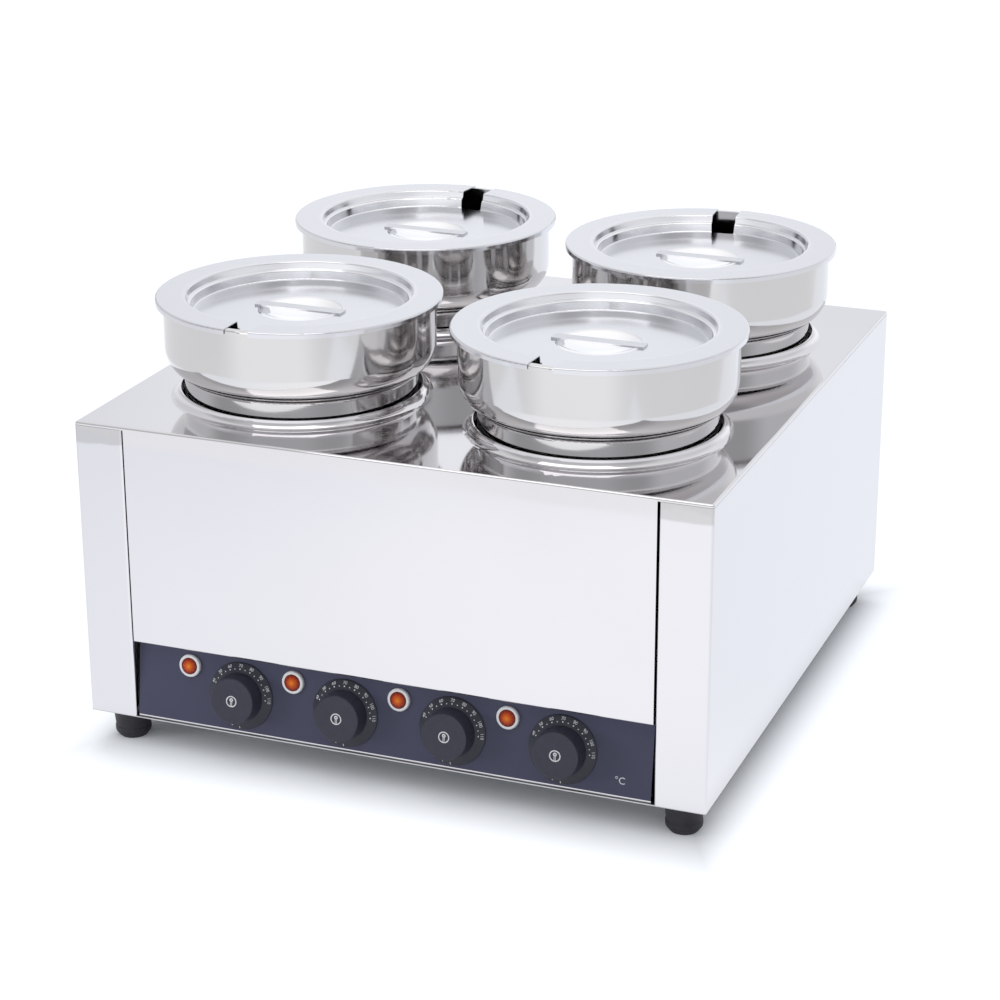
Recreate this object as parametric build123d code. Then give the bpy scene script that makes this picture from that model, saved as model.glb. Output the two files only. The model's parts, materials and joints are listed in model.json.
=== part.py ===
from build123d import *
import math
import os

# Four-pot food warmer. Millimetres, +Z up, the front faces -Y.
# The origin is on the floor under the middle of the casing.

# Casing of folded stainless sheet
CASE_HEIGHT = 275.5
SHEET = 1.0
FOLD = 1.5
WELD_LINE = 0.25
EDGE_GAP = 0.5
DECK_LIP = 3.0
PILLAR_WIDTH = 46.0
PILLAR_RETURN = 16.0
REAR_FLANGE = 30.0
BASE_FLANGE = 50.0
SEAM = 1.4
OPENING_HEIGHT = 73.5
FASCIA_GAP = 1.9

# Feet
FOOT_HEIGHT = 30.0
FOOT_INSET = 27.0
FOOT_TOP_RADIUS = 17.8
FOOT_RIDGE_RADIUS = 16.2
FOOT_RIDGE_HEIGHT = 9.5
FOOT_WAIST_RADIUS = 15.6
FOOT_SOLE_RADIUS = 12.5
FOOT_POCKET_RADIUS = 6.5
FOOT_POCKET_DEPTH = 12.0
FOOT_SCREW_RADIUS = 2.5

# Wells and the raised collars round them
LID_GAP_X = 26.0
LID_GAP_Y = 32.8
MARGIN_SIDE = 22.0
MARGIN_FRONT = 20.0
MARGIN_REAR = 17.2
NECK_CLEARANCE = 3.5
COLLAR_HEIGHT = 8.3
WELL_DEPTH = 120.0
WELL_WALL = 1.0
WELL_CORNER = 13.0
FLANGE_SPARE = 2.0

# Pots
POT_WALL = 1.0
POT_NECK_RADIUS = 104.5
BELLY_OVERHANG = 16.5
POT_RISE = 91.3
POT_CORNER = 15.0
NECK_FILLET = 4.5
BELLY_ARC = 25.0
BELLY_RISE = 47.0
POT_RIM_WIDTH = 5.0
POT_RIM_LIP = 4.2
POT_RIM_ROUND = 1.8

# Lids
LID_FIT = 0.6
LID_SHEET = 0.9
LID_FOLD = 0.9
LID_SKIRT = 5.0
LID_RIM_WIDTH = 26.8
LID_STEP_DEPTH = 6.8
LID_LEDGE_WIDTH = 2.8
LID_DEPTH = 15.6
LID_WALL_LEAN = 1.4
DISH_RADIUS = 38.0
DISH_DEPTH = 10.0
NOTCH_WIDTH = 23.0
NOTCH_LENGTH = 35.0
NOTCH_CORNER = 4.0
NOTCH_AZIMUTH = {"front_left": -90.0, "front_right": -93.0, "rear_left": 84.0, "rear_right": 94.0}
HANDLE_WIDTH = 13.0
HANDLE_THICKNESS = 1.5
HANDLE_LANDING = 4.0

# Tilted control panel and its pattern of lamps and knobs
PANEL_TILT = 7.4
PANEL_SETBACK = 0.5
PANEL_SIDE_GAP = 2.6
PANEL_TUCK = 10.8
PANEL_RETURN = 18.0
OVERLAY = 0.5
OVERLAY_START = 3.0
CONTROL_PITCH = 100.6
LAMP_FROM_SIDE = 99.5
LAMP_LINE = 56.0
KNOB_LINE = 35.8

# Lamps
LAMP_BEZEL_WALL = 2.7
LAMP_BEZEL_HEIGHT = 3.0
LAMP_SEAT = 1.0
LAMP_LENS_RADIUS = 7.6
LAMP_LENS_DOME = 1.4
LAMP_BODY_RADIUS = 6.8
LAMP_BODY_LENGTH = 28.0
LAMP_TAB_WIDTH = 4.8
LAMP_TAB_LENGTH = 7.0
LAMP_CLEARANCE = 0.1

# Dial rings, knobs and thermostats
DIAL_RADIUS = 30.7
DIAL_RIM = 1.0
DIAL_HEIGHT = 5.1
DIAL_SLOPE = 7.9
DIAL_ROOF = 1.9
DIAL_SCREW_ROOM = 2.0
DIAL_BUSH_ROOM = 2.0
KNOB_GAP = 0.4
KNOB_HEIGHT = 14.4
KNOB_BASE_RADIUS = 22.0
KNOB_DRAFT = 1.5
KNOB_EDGE = 1.0
KNOB_WALL = 3.5
KNOB_HUB_RADIUS = 7.0
KNOB_ROOF = 6.4
SPINDLE_RADIUS = 3.0
SPINDLE_CLEARANCE = 0.05
SPINDLE_FLAT = 1.4
SPINDLE_IN_KNOB = 9.0
SPINDLE_IN_BODY = 12.0
THERMOSTAT_WIDTH = 36.0
THERMOSTAT_HEIGHT = 34.0
THERMOSTAT_DEPTH = 30.0
BRACKET_WIDTH = 44.0
BRACKET_HEIGHT = 20.0
BRACKET_SHEET = 1.5
BUSH_RADIUS = 5.0
BUSH_REACH = 1.5
BRACKET_SCREW_SPACING = 28.0
TAB_WIDTH = 6.3
TAB_SHEET = 0.8
TAB_LENGTH = 8.0
PANEL_HOLE_CLEARANCE = 0.4

# Heating elements clamped under the wells
HEATER_RADIUS = 82.0
HEATER_THICKNESS = 4.0
CLAMP_RADIUS = 86.0
CLAMP_SHEET = 1.5
STUD_RADIUS = 3.0
STUD_SPARE = 3.0
STUD_NUT_FLATS = 10.0
STUD_NUT_HEIGHT = 5.0
STUD_CLEARANCE = 0.3
TERMINAL_RADIUS = 4.0
TERMINAL_REACH = 8.0
TERMINAL_CLEARANCE = 1.0
TERMINAL_X = 30.0
TERMINAL_Y = 45.0

# Sensor bulbs, capillary tubes and leads
BULB_RADIUS = 3.0
BULB_LENGTH = 70.0
BULB_Y = -40.0
BULB_GAP = 0.1
CAPILLARY_RADIUS = 0.8
CAPILLARY_LEVEL = 28.0
CAPILLARY_SIDE = 20.0
LEAD_RADIUS = 2.0
LEAD_LEVEL = 44.0
ROUTE_BEND = 8.0
BEND_SHARE = 0.45
ROUTE_GAP = 0.3
THERMOSTAT_SIDE = 9.0

# Mains entry at the rear
GLAND_FROM_SIDE = 90.0
GLAND_Z = 60.0
GLAND_BORE = 4.5
GLAND_THREAD_RADIUS = 8.0
GLAND_FLATS = 22.0
GLAND_HEX = 6.0
GLAND_DOME_RADIUS = 10.0
GLAND_REACH = 16.0
GLAND_DOME_ROUND = 2.5
GLAND_INSIDE = 10.0
LOCK_NUT_FLATS = 24.0
LOCK_NUT_HEIGHT = 4.5
BLOCK_LENGTH = 60.0
BLOCK_WIDTH = 24.0
BLOCK_HEIGHT = 20.0
BLOCK_FROM_REAR = 80.0
BLOCK_WAYS = 3
BLOCK_SCREW_RADIUS = 3.2
BLOCK_SCREW_DEPTH = 4.0
TRUNK_RADIUS = 4.0
TRUNK_BEND = 40.0
TRUNK_FROM_FRONT = 86.0

# Small screws, vents
SCREW_RADIUS = 2.0
SCREW_HEAD_RADIUS = 4.0
SCREW_HEAD_HEIGHT = 2.4
SCREW_LENGTH = 8.0
SCREW_CLEARANCE = 0.2
SCREWS_PER_SIDE = 3
REAR_SCREW_LOWEST = 40.0
REAR_SCREW_PITCH = 100.0
BASE_SCREW_PITCH = 120.0
VENT_LENGTH = 60.0
VENT_WIDTH = 5.0
VENT_PITCH = 14.0
VENT_COUNT = 6
VENT_FROM_SIDE = 170.0
VENT_Z = 190.0

# Sizes and places that follow from the sizes above
COLLAR_RADIUS = POT_NECK_RADIUS + NECK_CLEARANCE
POT_BELLY_RADIUS = POT_NECK_RADIUS + BELLY_OVERHANG
POT_RIM_RADIUS = POT_BELLY_RADIUS + POT_RIM_WIDTH
FLANGE_RADIUS = POT_RIM_RADIUS + FLANGE_SPARE
LID_RADIUS = POT_RIM_RADIUS + LID_FIT + LID_SHEET
LID_RIM_INNER = LID_RADIUS - LID_RIM_WIDTH
NOTCH_END_RADIUS = LID_RADIUS - NOTCH_LENGTH
WELL_PITCH_X = 2 * LID_RADIUS + LID_GAP_X
WELL_PITCH_Y = 2 * LID_RADIUS + LID_GAP_Y
WELL_OFFSET_Y = (MARGIN_FRONT - MARGIN_REAR) / 2
CASE_WIDTH = WELL_PITCH_X + 2 * (LID_RADIUS + MARGIN_SIDE)
CASE_DEPTH = WELL_PITCH_Y + 2 * LID_RADIUS + MARGIN_FRONT + MARGIN_REAR
TILT = math.radians(PANEL_TILT)
PANEL_LENGTH = (OPENING_HEIGHT - SHEET + PANEL_TUCK) / math.cos(TILT)
FASCIA_RETURN = PANEL_SETBACK + (OPENING_HEIGHT - SHEET) * math.tan(TILT) - FASCIA_GAP
LAMP_BEZEL_RADIUS = LAMP_LENS_RADIUS + LAMP_BEZEL_WALL
DIAL_TOP_RADIUS = DIAL_RADIUS - DIAL_SLOPE
DIAL_HOLLOW_RADIUS = BRACKET_SCREW_SPACING / 2 + SCREW_HEAD_RADIUS + DIAL_SCREW_ROOM
DIAL_HOLLOW_DEPTH = DIAL_HEIGHT - DIAL_ROOF
DIAL_BORE_RADIUS = BUSH_RADIUS + DIAL_BUSH_ROOM
KNOB_FACE_RADIUS = KNOB_BASE_RADIUS - KNOB_DRAFT
KNOB_HOLLOW_RADIUS = KNOB_BASE_RADIUS - KNOB_WALL
KNOB_HOLLOW_DEPTH = KNOB_HEIGHT - KNOB_ROOF
FRONT = -CASE_DEPTH / 2
REAR = CASE_DEPTH / 2
SIDE = CASE_WIDTH / 2
DECK_TOP = FOOT_HEIGHT + CASE_HEIGHT
BASE_TOP = FOOT_HEIGHT + SHEET
WALL_TOP = DECK_TOP - DECK_LIP - WELD_LINE
GLAND_X = SIDE - GLAND_FROM_SIDE
VENT_X = SIDE - VENT_FROM_SIDE
FASCIA_HALF = SIDE - PILLAR_WIDTH - SEAM
PANEL_HALF = SIDE - PILLAR_WIDTH - PANEL_SIDE_GAP
LID_TOP = DECK_TOP + POT_RISE + LID_SHEET
WELL_FLOOR = DECK_TOP - WELL_DEPTH
HEATER_TOP = WELL_FLOOR - WELL_WALL
CLAMP_TOP = HEATER_TOP - HEATER_THICKNESS
CLAMP_BOTTOM = CLAMP_TOP - CLAMP_SHEET
DISH_SPHERE = (DISH_RADIUS**2 + DISH_DEPTH**2) / (2 * DISH_DEPTH)
KNOB_BASE = OVERLAY + DIAL_HEIGHT + KNOB_GAP
SPINDLE_TOP = KNOB_BASE + SPINDLE_IN_KNOB
BRACKET_BACK = -SHEET - BRACKET_SHEET
BODY_BACK = BRACKET_BACK - THERMOSTAT_DEPTH

# Axes of the four wells, and which control serves which well, from left to right
PLACES = {
    "front_left": (-WELL_PITCH_X / 2, WELL_OFFSET_Y - WELL_PITCH_Y / 2),
    "front_right": (WELL_PITCH_X / 2, WELL_OFFSET_Y - WELL_PITCH_Y / 2),
    "rear_left": (-WELL_PITCH_X / 2, WELL_OFFSET_Y + WELL_PITCH_Y / 2),
    "rear_right": (WELL_PITCH_X / 2, WELL_OFFSET_Y + WELL_PITCH_Y / 2),
}
CONTROLS = ["front_left", "rear_left", "rear_right", "front_right"]
LAMP_X = [LAMP_FROM_SIDE - SIDE + i * CONTROL_PITCH for i in range(len(CONTROLS))]
KNOB_X = {name: x + CONTROL_PITCH / 2 for name, x in zip(CONTROLS, LAMP_X)}

# Plane of the control panel's steel face: x to the right, y up the slope, z out towards the user
PANEL = Plane(
    origin=(0, FRONT + PANEL_SETBACK, BASE_TOP),
    x_dir=(1, 0, 0),
    z_dir=(0, -math.cos(TILT), math.sin(TILT)),
)


def shifted(points, gap):
    """Corners of an open line moved to its left by the gap, mitred at each turn."""
    runs = [(b - a).normalized() for a, b in zip(points, points[1:])]
    sides = [Vector(-run.Y, run.X) for run in runs]
    moved = [points[0] + sides[0] * gap]
    for corner, before, after in zip(points[1:], sides, sides[1:]):
        moved.append(corner + (before + after) * (gap / (1 + before.dot(after))))
    moved.append(points[-1] + sides[-1] * gap)
    return moved


def nearest(shape, points):
    """The shape's vertices that lie at the given points."""
    return [min(shape.vertices(), key=lambda v: (Vector(v) - p).length) for p in points]


def folded(corners, thickness, fold):
    """Section of a folded sheet: the corners run along one face and the sheet lies to their left."""
    face = [Vector(*corner) for corner in corners]
    back = shifted(face, thickness)
    outside, inside = [], []
    for i in range(1, len(face) - 1):
        left_turn = (face[i] - face[i - 1]).cross(face[i + 1] - face[i]).Z > 0
        outside.append(face[i] if left_turn else back[i])
        inside.append(back[i] if left_turn else face[i])
    section = make_face(Polyline(*face, *reversed(back), close=True))
    section = fillet(nearest(section, outside), fold + thickness)
    return fillet(nearest(section, inside), fold)


def turned(section):
    """Body of revolution about Z from a section drawn as radius and height."""
    return revolve(Plane.XZ * section, axis=Axis.Z)


def outline(points):
    """Flat face inside a closed line of straight runs."""
    return make_face(Polyline(*points, close=True))


def upright(radius, low, high):
    """Cylinder on the Z axis between two heights."""
    return Pos(0, 0, low) * extrude(Circle(radius), high - low)


def hexagon(flats, low, high):
    """Hexagonal bar on the Z axis between two heights."""
    return Pos(0, 0, low) * extrude(RegularPolygon(flats / 2, 6, major_radius=False), high - low)


def slab(x, y, z):
    """Box from three pairs of limits."""
    size = [high - low for low, high in (x, y, z)]
    middle = [(high + low) / 2 for low, high in (x, y, z)]
    return Pos(*middle) * Box(*size)


def tube(points, radius, bend):
    """Round tube along straight runs joined by tangent arcs that fit the shortest run."""
    shortest = min((b - a).length for a, b in zip(points, points[1:]))
    path = FilletPolyline(*points, radius=min(bend, BEND_SHARE * shortest))
    return sweep(Plane(path @ 0, z_dir=path % 0) * Circle(radius), path=path)


def group(solids):
    """Like pieces kept as separate solids in one node."""
    return Compound(children=[solid for piece in solids for solid in piece.solids()])


def collar():
    """Drawn collar of a deck hole: a quarter round of sheet rising to an upright lip."""
    centre = (COLLAR_RADIUS + SHEET + COLLAR_HEIGHT, DECK_TOP + COLLAR_HEIGHT)
    upper = CenterArc(centre, COLLAR_HEIGHT, 180, 90)
    under = CenterArc(centre, COLLAR_HEIGHT + SHEET, 180, 90)
    section = make_face([upper, Line(upper @ 1, under @ 1), under, Line(under @ 0, upper @ 0)])
    return turned(section)


def tray(width, depth, height, round_over):
    """Shallow block under the deck's top plane with its upper edges rounded."""
    block = Pos(0, 0, DECK_TOP) * Box(width, depth, height, align=(Align.CENTER, Align.CENTER, Align.MAX))
    block = fillet(block.edges().filter_by(Axis.Z), round_over)
    return fillet(block.faces().sort_by(Axis.Z)[-1].edges(), round_over)


def top_shell():
    """Deck with turned-down edges and four collars, folded down at the front as the fascia."""
    inside = Pos(0, 0, -SHEET) * tray(CASE_WIDTH - 2 * SHEET, CASE_DEPTH - 2 * SHEET, DECK_LIP, FOLD)
    shell = tray(CASE_WIDTH, CASE_DEPTH, DECK_LIP, FOLD + SHEET) - inside
    joint = FRONT + 3 * (FOLD + SHEET)
    across = (-FASCIA_HALF, FASCIA_HALF)
    shell -= slab(across, (FRONT - SHEET, joint), (DECK_TOP - 2 * DECK_LIP, DECK_TOP + SHEET))
    low = FOOT_HEIGHT + OPENING_HEIGHT
    fascia = [(joint, DECK_TOP), (FRONT, DECK_TOP), (FRONT, low), (FRONT + FASCIA_RETURN, low)]
    shell += extrude(Plane.YZ * folded(fascia, SHEET, FOLD), FASCIA_HALF, both=True)
    for x, y in PLACES.values():
        hole = upright(COLLAR_RADIUS + SHEET + COLLAR_HEIGHT, DECK_TOP - DECK_LIP, DECK_TOP + SHEET)
        shell -= Pos(x, y, 0) * hole
        shell += Pos(x, y, 0) * collar()
    return shell


def side_panel():
    """Left side wall with its front pillar, rear flange and bottom flange."""
    back = REAR - SHEET
    inner = -SIDE + PILLAR_WIDTH
    plan = [
        (-SIDE + REAR_FLANGE, back),
        (-SIDE, back),
        (-SIDE, FRONT),
        (inner, FRONT),
        (inner, FRONT + PILLAR_RETURN),
    ]
    panel = Pos(0, 0, BASE_TOP) * extrude(folded(plan, SHEET, FOLD), WALL_TOP - BASE_TOP)
    across = (-SIDE + SHEET / 2, -SIDE + BASE_FLANGE)
    along = (FRONT + PANEL_SETBACK + PANEL_RETURN + EDGE_GAP, back - SHEET)
    panel += slab(across, along, (BASE_TOP, BASE_TOP + SHEET))
    for y in (FRONT + FOOT_INSET, REAR - FOOT_INSET):
        hole = upright(FOOT_SCREW_RADIUS + SCREW_CLEARANCE, BASE_TOP - SHEET, BASE_TOP + 2 * SHEET)
        panel -= Pos(-SIDE + FOOT_INSET, y, 0) * hole
    for place in rear_screw_places() + base_screw_places():
        panel -= place * screw_hole()
    return panel


def screw_hole():
    """Clearance for one casing screw: it points along -Z from its head's seat."""
    return upright(SCREW_RADIUS + SCREW_CLEARANCE, -SCREW_LENGTH, SHEET)


def casing_screw():
    """Pan-head sheet screw, its head standing on the seat."""
    head = upright(SCREW_HEAD_RADIUS, 0, SCREW_HEAD_HEIGHT)
    head = fillet(head.edges().sort_by(Axis.Z)[-1], SCREW_HEAD_HEIGHT / 2)
    return head + upright(SCREW_RADIUS, -SCREW_LENGTH, 0)


def rear_screw_places():
    """Seats of the screws along both sides of the rear panel, heads facing +Y."""
    columns = (-SIDE + REAR_FLANGE / 2, SIDE - REAR_FLANGE / 2)
    levels = [FOOT_HEIGHT + REAR_SCREW_LOWEST + i * REAR_SCREW_PITCH for i in range(SCREWS_PER_SIDE)]
    return [Pos(x, REAR, z) * Rot(-90, 0, 0) for x in columns for z in levels]


def base_screw_places():
    """Seats of the screws along both sides of the base plate, heads facing down."""
    columns = (-SIDE + BASE_FLANGE / 2, SIDE - BASE_FLANGE / 2)
    rows = [(i - (SCREWS_PER_SIDE - 1) / 2) * BASE_SCREW_PITCH for i in range(SCREWS_PER_SIDE)]
    return [Pos(x, y, FOOT_HEIGHT) * Rot(180, 0, 0) for x in columns for y in rows]


def rear_panel():
    """Flat back sheet with the gland's hole and two groups of vent slots."""
    panel = slab((-SIDE + EDGE_GAP, SIDE - EDGE_GAP), (REAR - SHEET, REAR), (BASE_TOP, WALL_TOP))
    thread = upright(GLAND_THREAD_RADIUS + SCREW_CLEARANCE, -3 * SHEET, 3 * SHEET)
    panel -= Pos(GLAND_X, REAR, FOOT_HEIGHT + GLAND_Z) * Rot(-90, 0, 0) * thread
    slot = extrude(Plane.XZ * SlotOverall(VENT_LENGTH, VENT_WIDTH), 3 * SHEET, both=True)
    for x in (-VENT_X, VENT_X):
        for i in range(VENT_COUNT):
            panel -= Pos(x, REAR, FOOT_HEIGHT + VENT_Z + (i - (VENT_COUNT - 1) / 2) * VENT_PITCH) * slot
    for place in rear_screw_places():
        panel -= place * screw_hole()
    return panel


def base_plate():
    """Flat bottom sheet that the side panels, the control panel and the feet are fixed to."""
    across = (-SIDE + EDGE_GAP, SIDE - EDGE_GAP)
    plate = slab(across, (FRONT + EDGE_GAP, REAR - EDGE_GAP), (FOOT_HEIGHT, BASE_TOP))
    for x, y in foot_places():
        hole = upright(FOOT_SCREW_RADIUS + SCREW_CLEARANCE, FOOT_HEIGHT - SHEET, BASE_TOP + SHEET)
        plate -= Pos(x, y, 0) * hole
    for place in base_screw_places():
        plate -= place * screw_hole()
    return plate


def control_panel():
    """Tilted steel sheet behind the controls, folded back at its top and its bottom edge."""
    foot = PANEL.origin
    head = foot + PANEL.y_dir * PANEL_LENGTH
    section = [
        (head.Y + PANEL_RETURN, head.Z),
        (head.Y, head.Z),
        (foot.Y, foot.Z),
        (foot.Y + PANEL_RETURN, foot.Z),
    ]
    panel = extrude(Plane.YZ * folded(section, SHEET, FOLD), PANEL_HALF, both=True)
    return panel - control_holes(-2 * SHEET, OVERLAY)


def panel_overlay():
    """Dark printed sheet on the face of the control panel."""
    sheet = slab((-PANEL_HALF, PANEL_HALF), (OVERLAY_START, PANEL_LENGTH - OVERLAY_START), (0, OVERLAY))
    return PANEL * sheet - control_holes(-SHEET, 2 * OVERLAY)


def control_holes(low, high):
    """Holes in the panel for the lamps, the thermostat bushes and their screws."""
    lamp = upright(LAMP_BODY_RADIUS + PANEL_HOLE_CLEARANCE, low, high)
    bush = upright(BUSH_RADIUS + PANEL_HOLE_CLEARANCE, low, high)
    screw = upright(SCREW_RADIUS + SCREW_CLEARANCE, low, high)
    holes = [PANEL * Pos(x, LAMP_LINE, 0) * lamp for x in LAMP_X]
    for x in KNOB_X.values():
        holes.append(PANEL * Pos(x, KNOB_LINE, 0) * bush)
        for side in (-1, 1):
            holes.append(PANEL * Pos(x + side * BRACKET_SCREW_SPACING / 2, KNOB_LINE, 0) * screw)
    return holes


def lamp_bezel():
    """Turned ring of a pilot lamp with a seat for the lens."""
    seat = OVERLAY + LAMP_SEAT
    top = OVERLAY + LAMP_BEZEL_HEIGHT
    inner = LAMP_LENS_RADIUS + LAMP_CLEARANCE
    bore = LAMP_LENS_RADIUS - LAMP_SEAT
    corners = [
        (bore, OVERLAY),
        (LAMP_BEZEL_RADIUS, OVERLAY),
        (LAMP_BEZEL_RADIUS, top),
        (inner, top),
        (inner, seat),
        (bore, seat),
    ]
    section = outline(corners)
    section = fillet(nearest(section, [Vector(LAMP_BEZEL_RADIUS, top)]), (LAMP_BEZEL_RADIUS - inner) / 2)
    return turned(section)


def lamp_lens():
    """Domed lens that sits in its bezel."""
    seat = OVERLAY + LAMP_SEAT
    edge = OVERLAY + LAMP_BEZEL_HEIGHT
    dome = ThreePointArc((-LAMP_LENS_RADIUS, edge), (0, edge + LAMP_LENS_DOME), (LAMP_LENS_RADIUS, edge))
    half = Line((0, seat), (LAMP_LENS_RADIUS, seat))
    rim = Line((LAMP_LENS_RADIUS, seat), (LAMP_LENS_RADIUS, edge))
    cap = dome.trim(0.5, 1.0)
    return turned(make_face([half, rim, cap, Line(cap @ 0, (0, seat))]))


def lamp_body():
    """Neon holder behind the panel with its two tabs."""
    body = upright(LAMP_BODY_RADIUS, -LAMP_BODY_LENGTH, OVERLAY)
    for side in (-1, 1):
        x = side * LAMP_BODY_RADIUS / 2
        body += slab(
            (x - TAB_SHEET / 2, x + TAB_SHEET / 2),
            (-LAMP_TAB_WIDTH / 2, LAMP_TAB_WIDTH / 2),
            (-LAMP_BODY_LENGTH - LAMP_TAB_LENGTH, -LAMP_BODY_LENGTH),
        )
    return body


def dial_ring():
    """Fixed scale ring: a low cone with a flat top, hollow underneath over the screw heads."""
    top = OVERLAY + DIAL_HEIGHT
    roof = OVERLAY + DIAL_HOLLOW_DEPTH
    corners = [
        (DIAL_HOLLOW_RADIUS, OVERLAY),
        (DIAL_RADIUS, OVERLAY),
        (DIAL_RADIUS, OVERLAY + DIAL_RIM),
        (DIAL_TOP_RADIUS, top),
        (DIAL_BORE_RADIUS, top),
        (DIAL_BORE_RADIUS, roof),
        (DIAL_HOLLOW_RADIUS, roof),
    ]
    section = outline(corners)
    return turned(fillet(nearest(section, [Vector(DIAL_RADIUS, OVERLAY + DIAL_RIM)]), DIAL_RIM / 2))


def knob():
    """Drafted cap with rounded edge, hollow underneath round the hub that takes the spindle."""
    top = KNOB_BASE + KNOB_HEIGHT
    roof = KNOB_BASE + KNOB_HOLLOW_DEPTH
    corners = [
        (KNOB_HOLLOW_RADIUS, KNOB_BASE),
        (KNOB_BASE_RADIUS, KNOB_BASE),
        (KNOB_FACE_RADIUS, top),
        (0, top),
        (0, KNOB_BASE),
        (KNOB_HUB_RADIUS, KNOB_BASE),
        (KNOB_HUB_RADIUS, roof),
        (KNOB_HOLLOW_RADIUS, roof),
    ]
    section = outline(corners)
    cap = turned(fillet(nearest(section, [Vector(KNOB_FACE_RADIUS, top)]), KNOB_EDGE))
    return cap - spindle_shape(SPINDLE_CLEARANCE, SPINDLE_CLEARANCE)


def spindle_shape(gap, end_gap):
    """Round spindle with a flat inside the knob, grown by the gap to make its socket."""
    low = BRACKET_BACK - SPINDLE_IN_BODY
    radius = SPINDLE_RADIUS + gap
    rod = upright(radius, low, SPINDLE_TOP + end_gap)
    flat = SPINDLE_RADIUS - SPINDLE_FLAT + gap
    return rod - slab((-radius, radius), (flat, 2 * radius), (KNOB_BASE, SPINDLE_TOP + radius))


def thermostat():
    """Capillary thermostat: mounting bracket, body, bush for the spindle and two tabs."""
    bracket = slab(
        (-BRACKET_WIDTH / 2, BRACKET_WIDTH / 2),
        (-BRACKET_HEIGHT / 2, BRACKET_HEIGHT / 2),
        (BRACKET_BACK, -SHEET),
    )
    body = slab(
        (-THERMOSTAT_WIDTH / 2, THERMOSTAT_WIDTH / 2),
        (-THERMOSTAT_HEIGHT / 2, THERMOSTAT_HEIGHT / 2),
        (BODY_BACK, BRACKET_BACK),
    )
    body = fillet(body.edges().filter_by(Axis.Z), BRACKET_SHEET)
    unit = bracket + body + upright(BUSH_RADIUS, -SHEET, OVERLAY + BUSH_REACH)
    for side in (-1, 1):
        x = side * THERMOSTAT_WIDTH / 4
        tab = (x - TAB_SHEET / 2, x + TAB_SHEET / 2)
        unit += slab(tab, (-TAB_WIDTH, 0), (BODY_BACK - TAB_LENGTH, BODY_BACK))
    bore_end = BRACKET_BACK - SPINDLE_IN_BODY - ROUTE_GAP
    unit -= upright(SPINDLE_RADIUS + SPINDLE_CLEARANCE, bore_end, SPINDLE_TOP)
    screw = upright(SCREW_RADIUS, BRACKET_BACK - SCREW_LENGTH, 0)
    for side in (-1, 1):
        unit -= Pos(side * BRACKET_SCREW_SPACING / 2, 0, 0) * screw
    return unit


def bracket_screw():
    """Low-head screw that holds a thermostat's bracket to the panel."""
    return upright(SCREW_HEAD_RADIUS, OVERLAY, OVERLAY + SCREW_HEAD_HEIGHT) + upright(
        SCREW_RADIUS, BRACKET_BACK - SCREW_LENGTH / 2, OVERLAY
    )


def well():
    """Deep-drawn cup spot-welded under the deck by its flange, with a stud under its floor."""
    top = DECK_TOP - SHEET
    outer = COLLAR_RADIUS + WELL_WALL
    corners = [
        (FLANGE_RADIUS, top),
        (COLLAR_RADIUS, top),
        (COLLAR_RADIUS, WELL_FLOOR),
        (0, WELL_FLOOR),
        (0, WELL_FLOOR - WELL_WALL),
        (outer, WELL_FLOOR - WELL_WALL),
        (outer, top - WELL_WALL),
        (FLANGE_RADIUS, top - WELL_WALL),
    ]
    section = outline(corners)
    section = fillet(nearest(section, [Vector(COLLAR_RADIUS, WELL_FLOOR)]), WELL_CORNER)
    section = fillet(nearest(section, [Vector(outer, WELL_FLOOR - WELL_WALL)]), WELL_CORNER + WELL_WALL)
    stud_end = CLAMP_BOTTOM - STUD_NUT_HEIGHT - STUD_SPARE
    return turned(section) + upright(STUD_RADIUS, stud_end, HEATER_TOP)


def heater():
    """Flat heating element pressed against the well's floor, with one terminal post."""
    disc = upright(HEATER_RADIUS, CLAMP_TOP, HEATER_TOP)
    disc -= upright(STUD_RADIUS + STUD_CLEARANCE, CLAMP_TOP, HEATER_TOP)
    post = upright(TERMINAL_RADIUS, CLAMP_BOTTOM - TERMINAL_REACH, CLAMP_TOP)
    return disc + Pos(TERMINAL_X, TERMINAL_Y, 0) * post


def heater_clamp():
    """Steel disc that clamps the heating element, open round the stud and the terminal."""
    disc = upright(CLAMP_RADIUS, CLAMP_BOTTOM, CLAMP_TOP)
    disc -= upright(STUD_RADIUS + STUD_CLEARANCE, CLAMP_BOTTOM, CLAMP_TOP)
    post_hole = upright(TERMINAL_RADIUS + TERMINAL_CLEARANCE, CLAMP_BOTTOM, CLAMP_TOP)
    return disc - Pos(TERMINAL_X, TERMINAL_Y, 0) * post_hole


def heater_nut():
    """Nut on the stud under the clamp disc."""
    nut = hexagon(STUD_NUT_FLATS, CLAMP_BOTTOM - STUD_NUT_HEIGHT, CLAMP_BOTTOM)
    return nut - upright(STUD_RADIUS + SPINDLE_CLEARANCE, CLAMP_BOTTOM - STUD_NUT_HEIGHT, CLAMP_BOTTOM)


def pot_wall(inset):
    """One face of the pot's wall from its middle up to the belly, set in from the outer face."""
    floor = WELL_FLOOR
    belly = DECK_TOP + BELLY_RISE
    arc_radius = POT_BELLY_RADIUS - BELLY_ARC
    fillet_radius = POT_NECK_RADIUS + NECK_FILLET
    reach = BELLY_ARC + NECK_FILLET
    sweep_angle = math.degrees(math.acos((fillet_radius - arc_radius) / reach))
    fillet_level = belly - reach * math.sin(math.radians(sweep_angle))
    corner = CenterArc((POT_NECK_RADIUS - POT_CORNER, floor + POT_CORNER), POT_CORNER - inset, -90, 90)
    hollow = CenterArc((fillet_radius, fillet_level), NECK_FILLET + inset, 180, -sweep_angle)
    bulge = CenterArc((arc_radius, belly), BELLY_ARC - inset, -sweep_angle, sweep_angle)
    return [Line((0, floor + inset), corner @ 0), corner, Line(corner @ 1, hollow @ 0), hollow, bulge]


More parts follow.
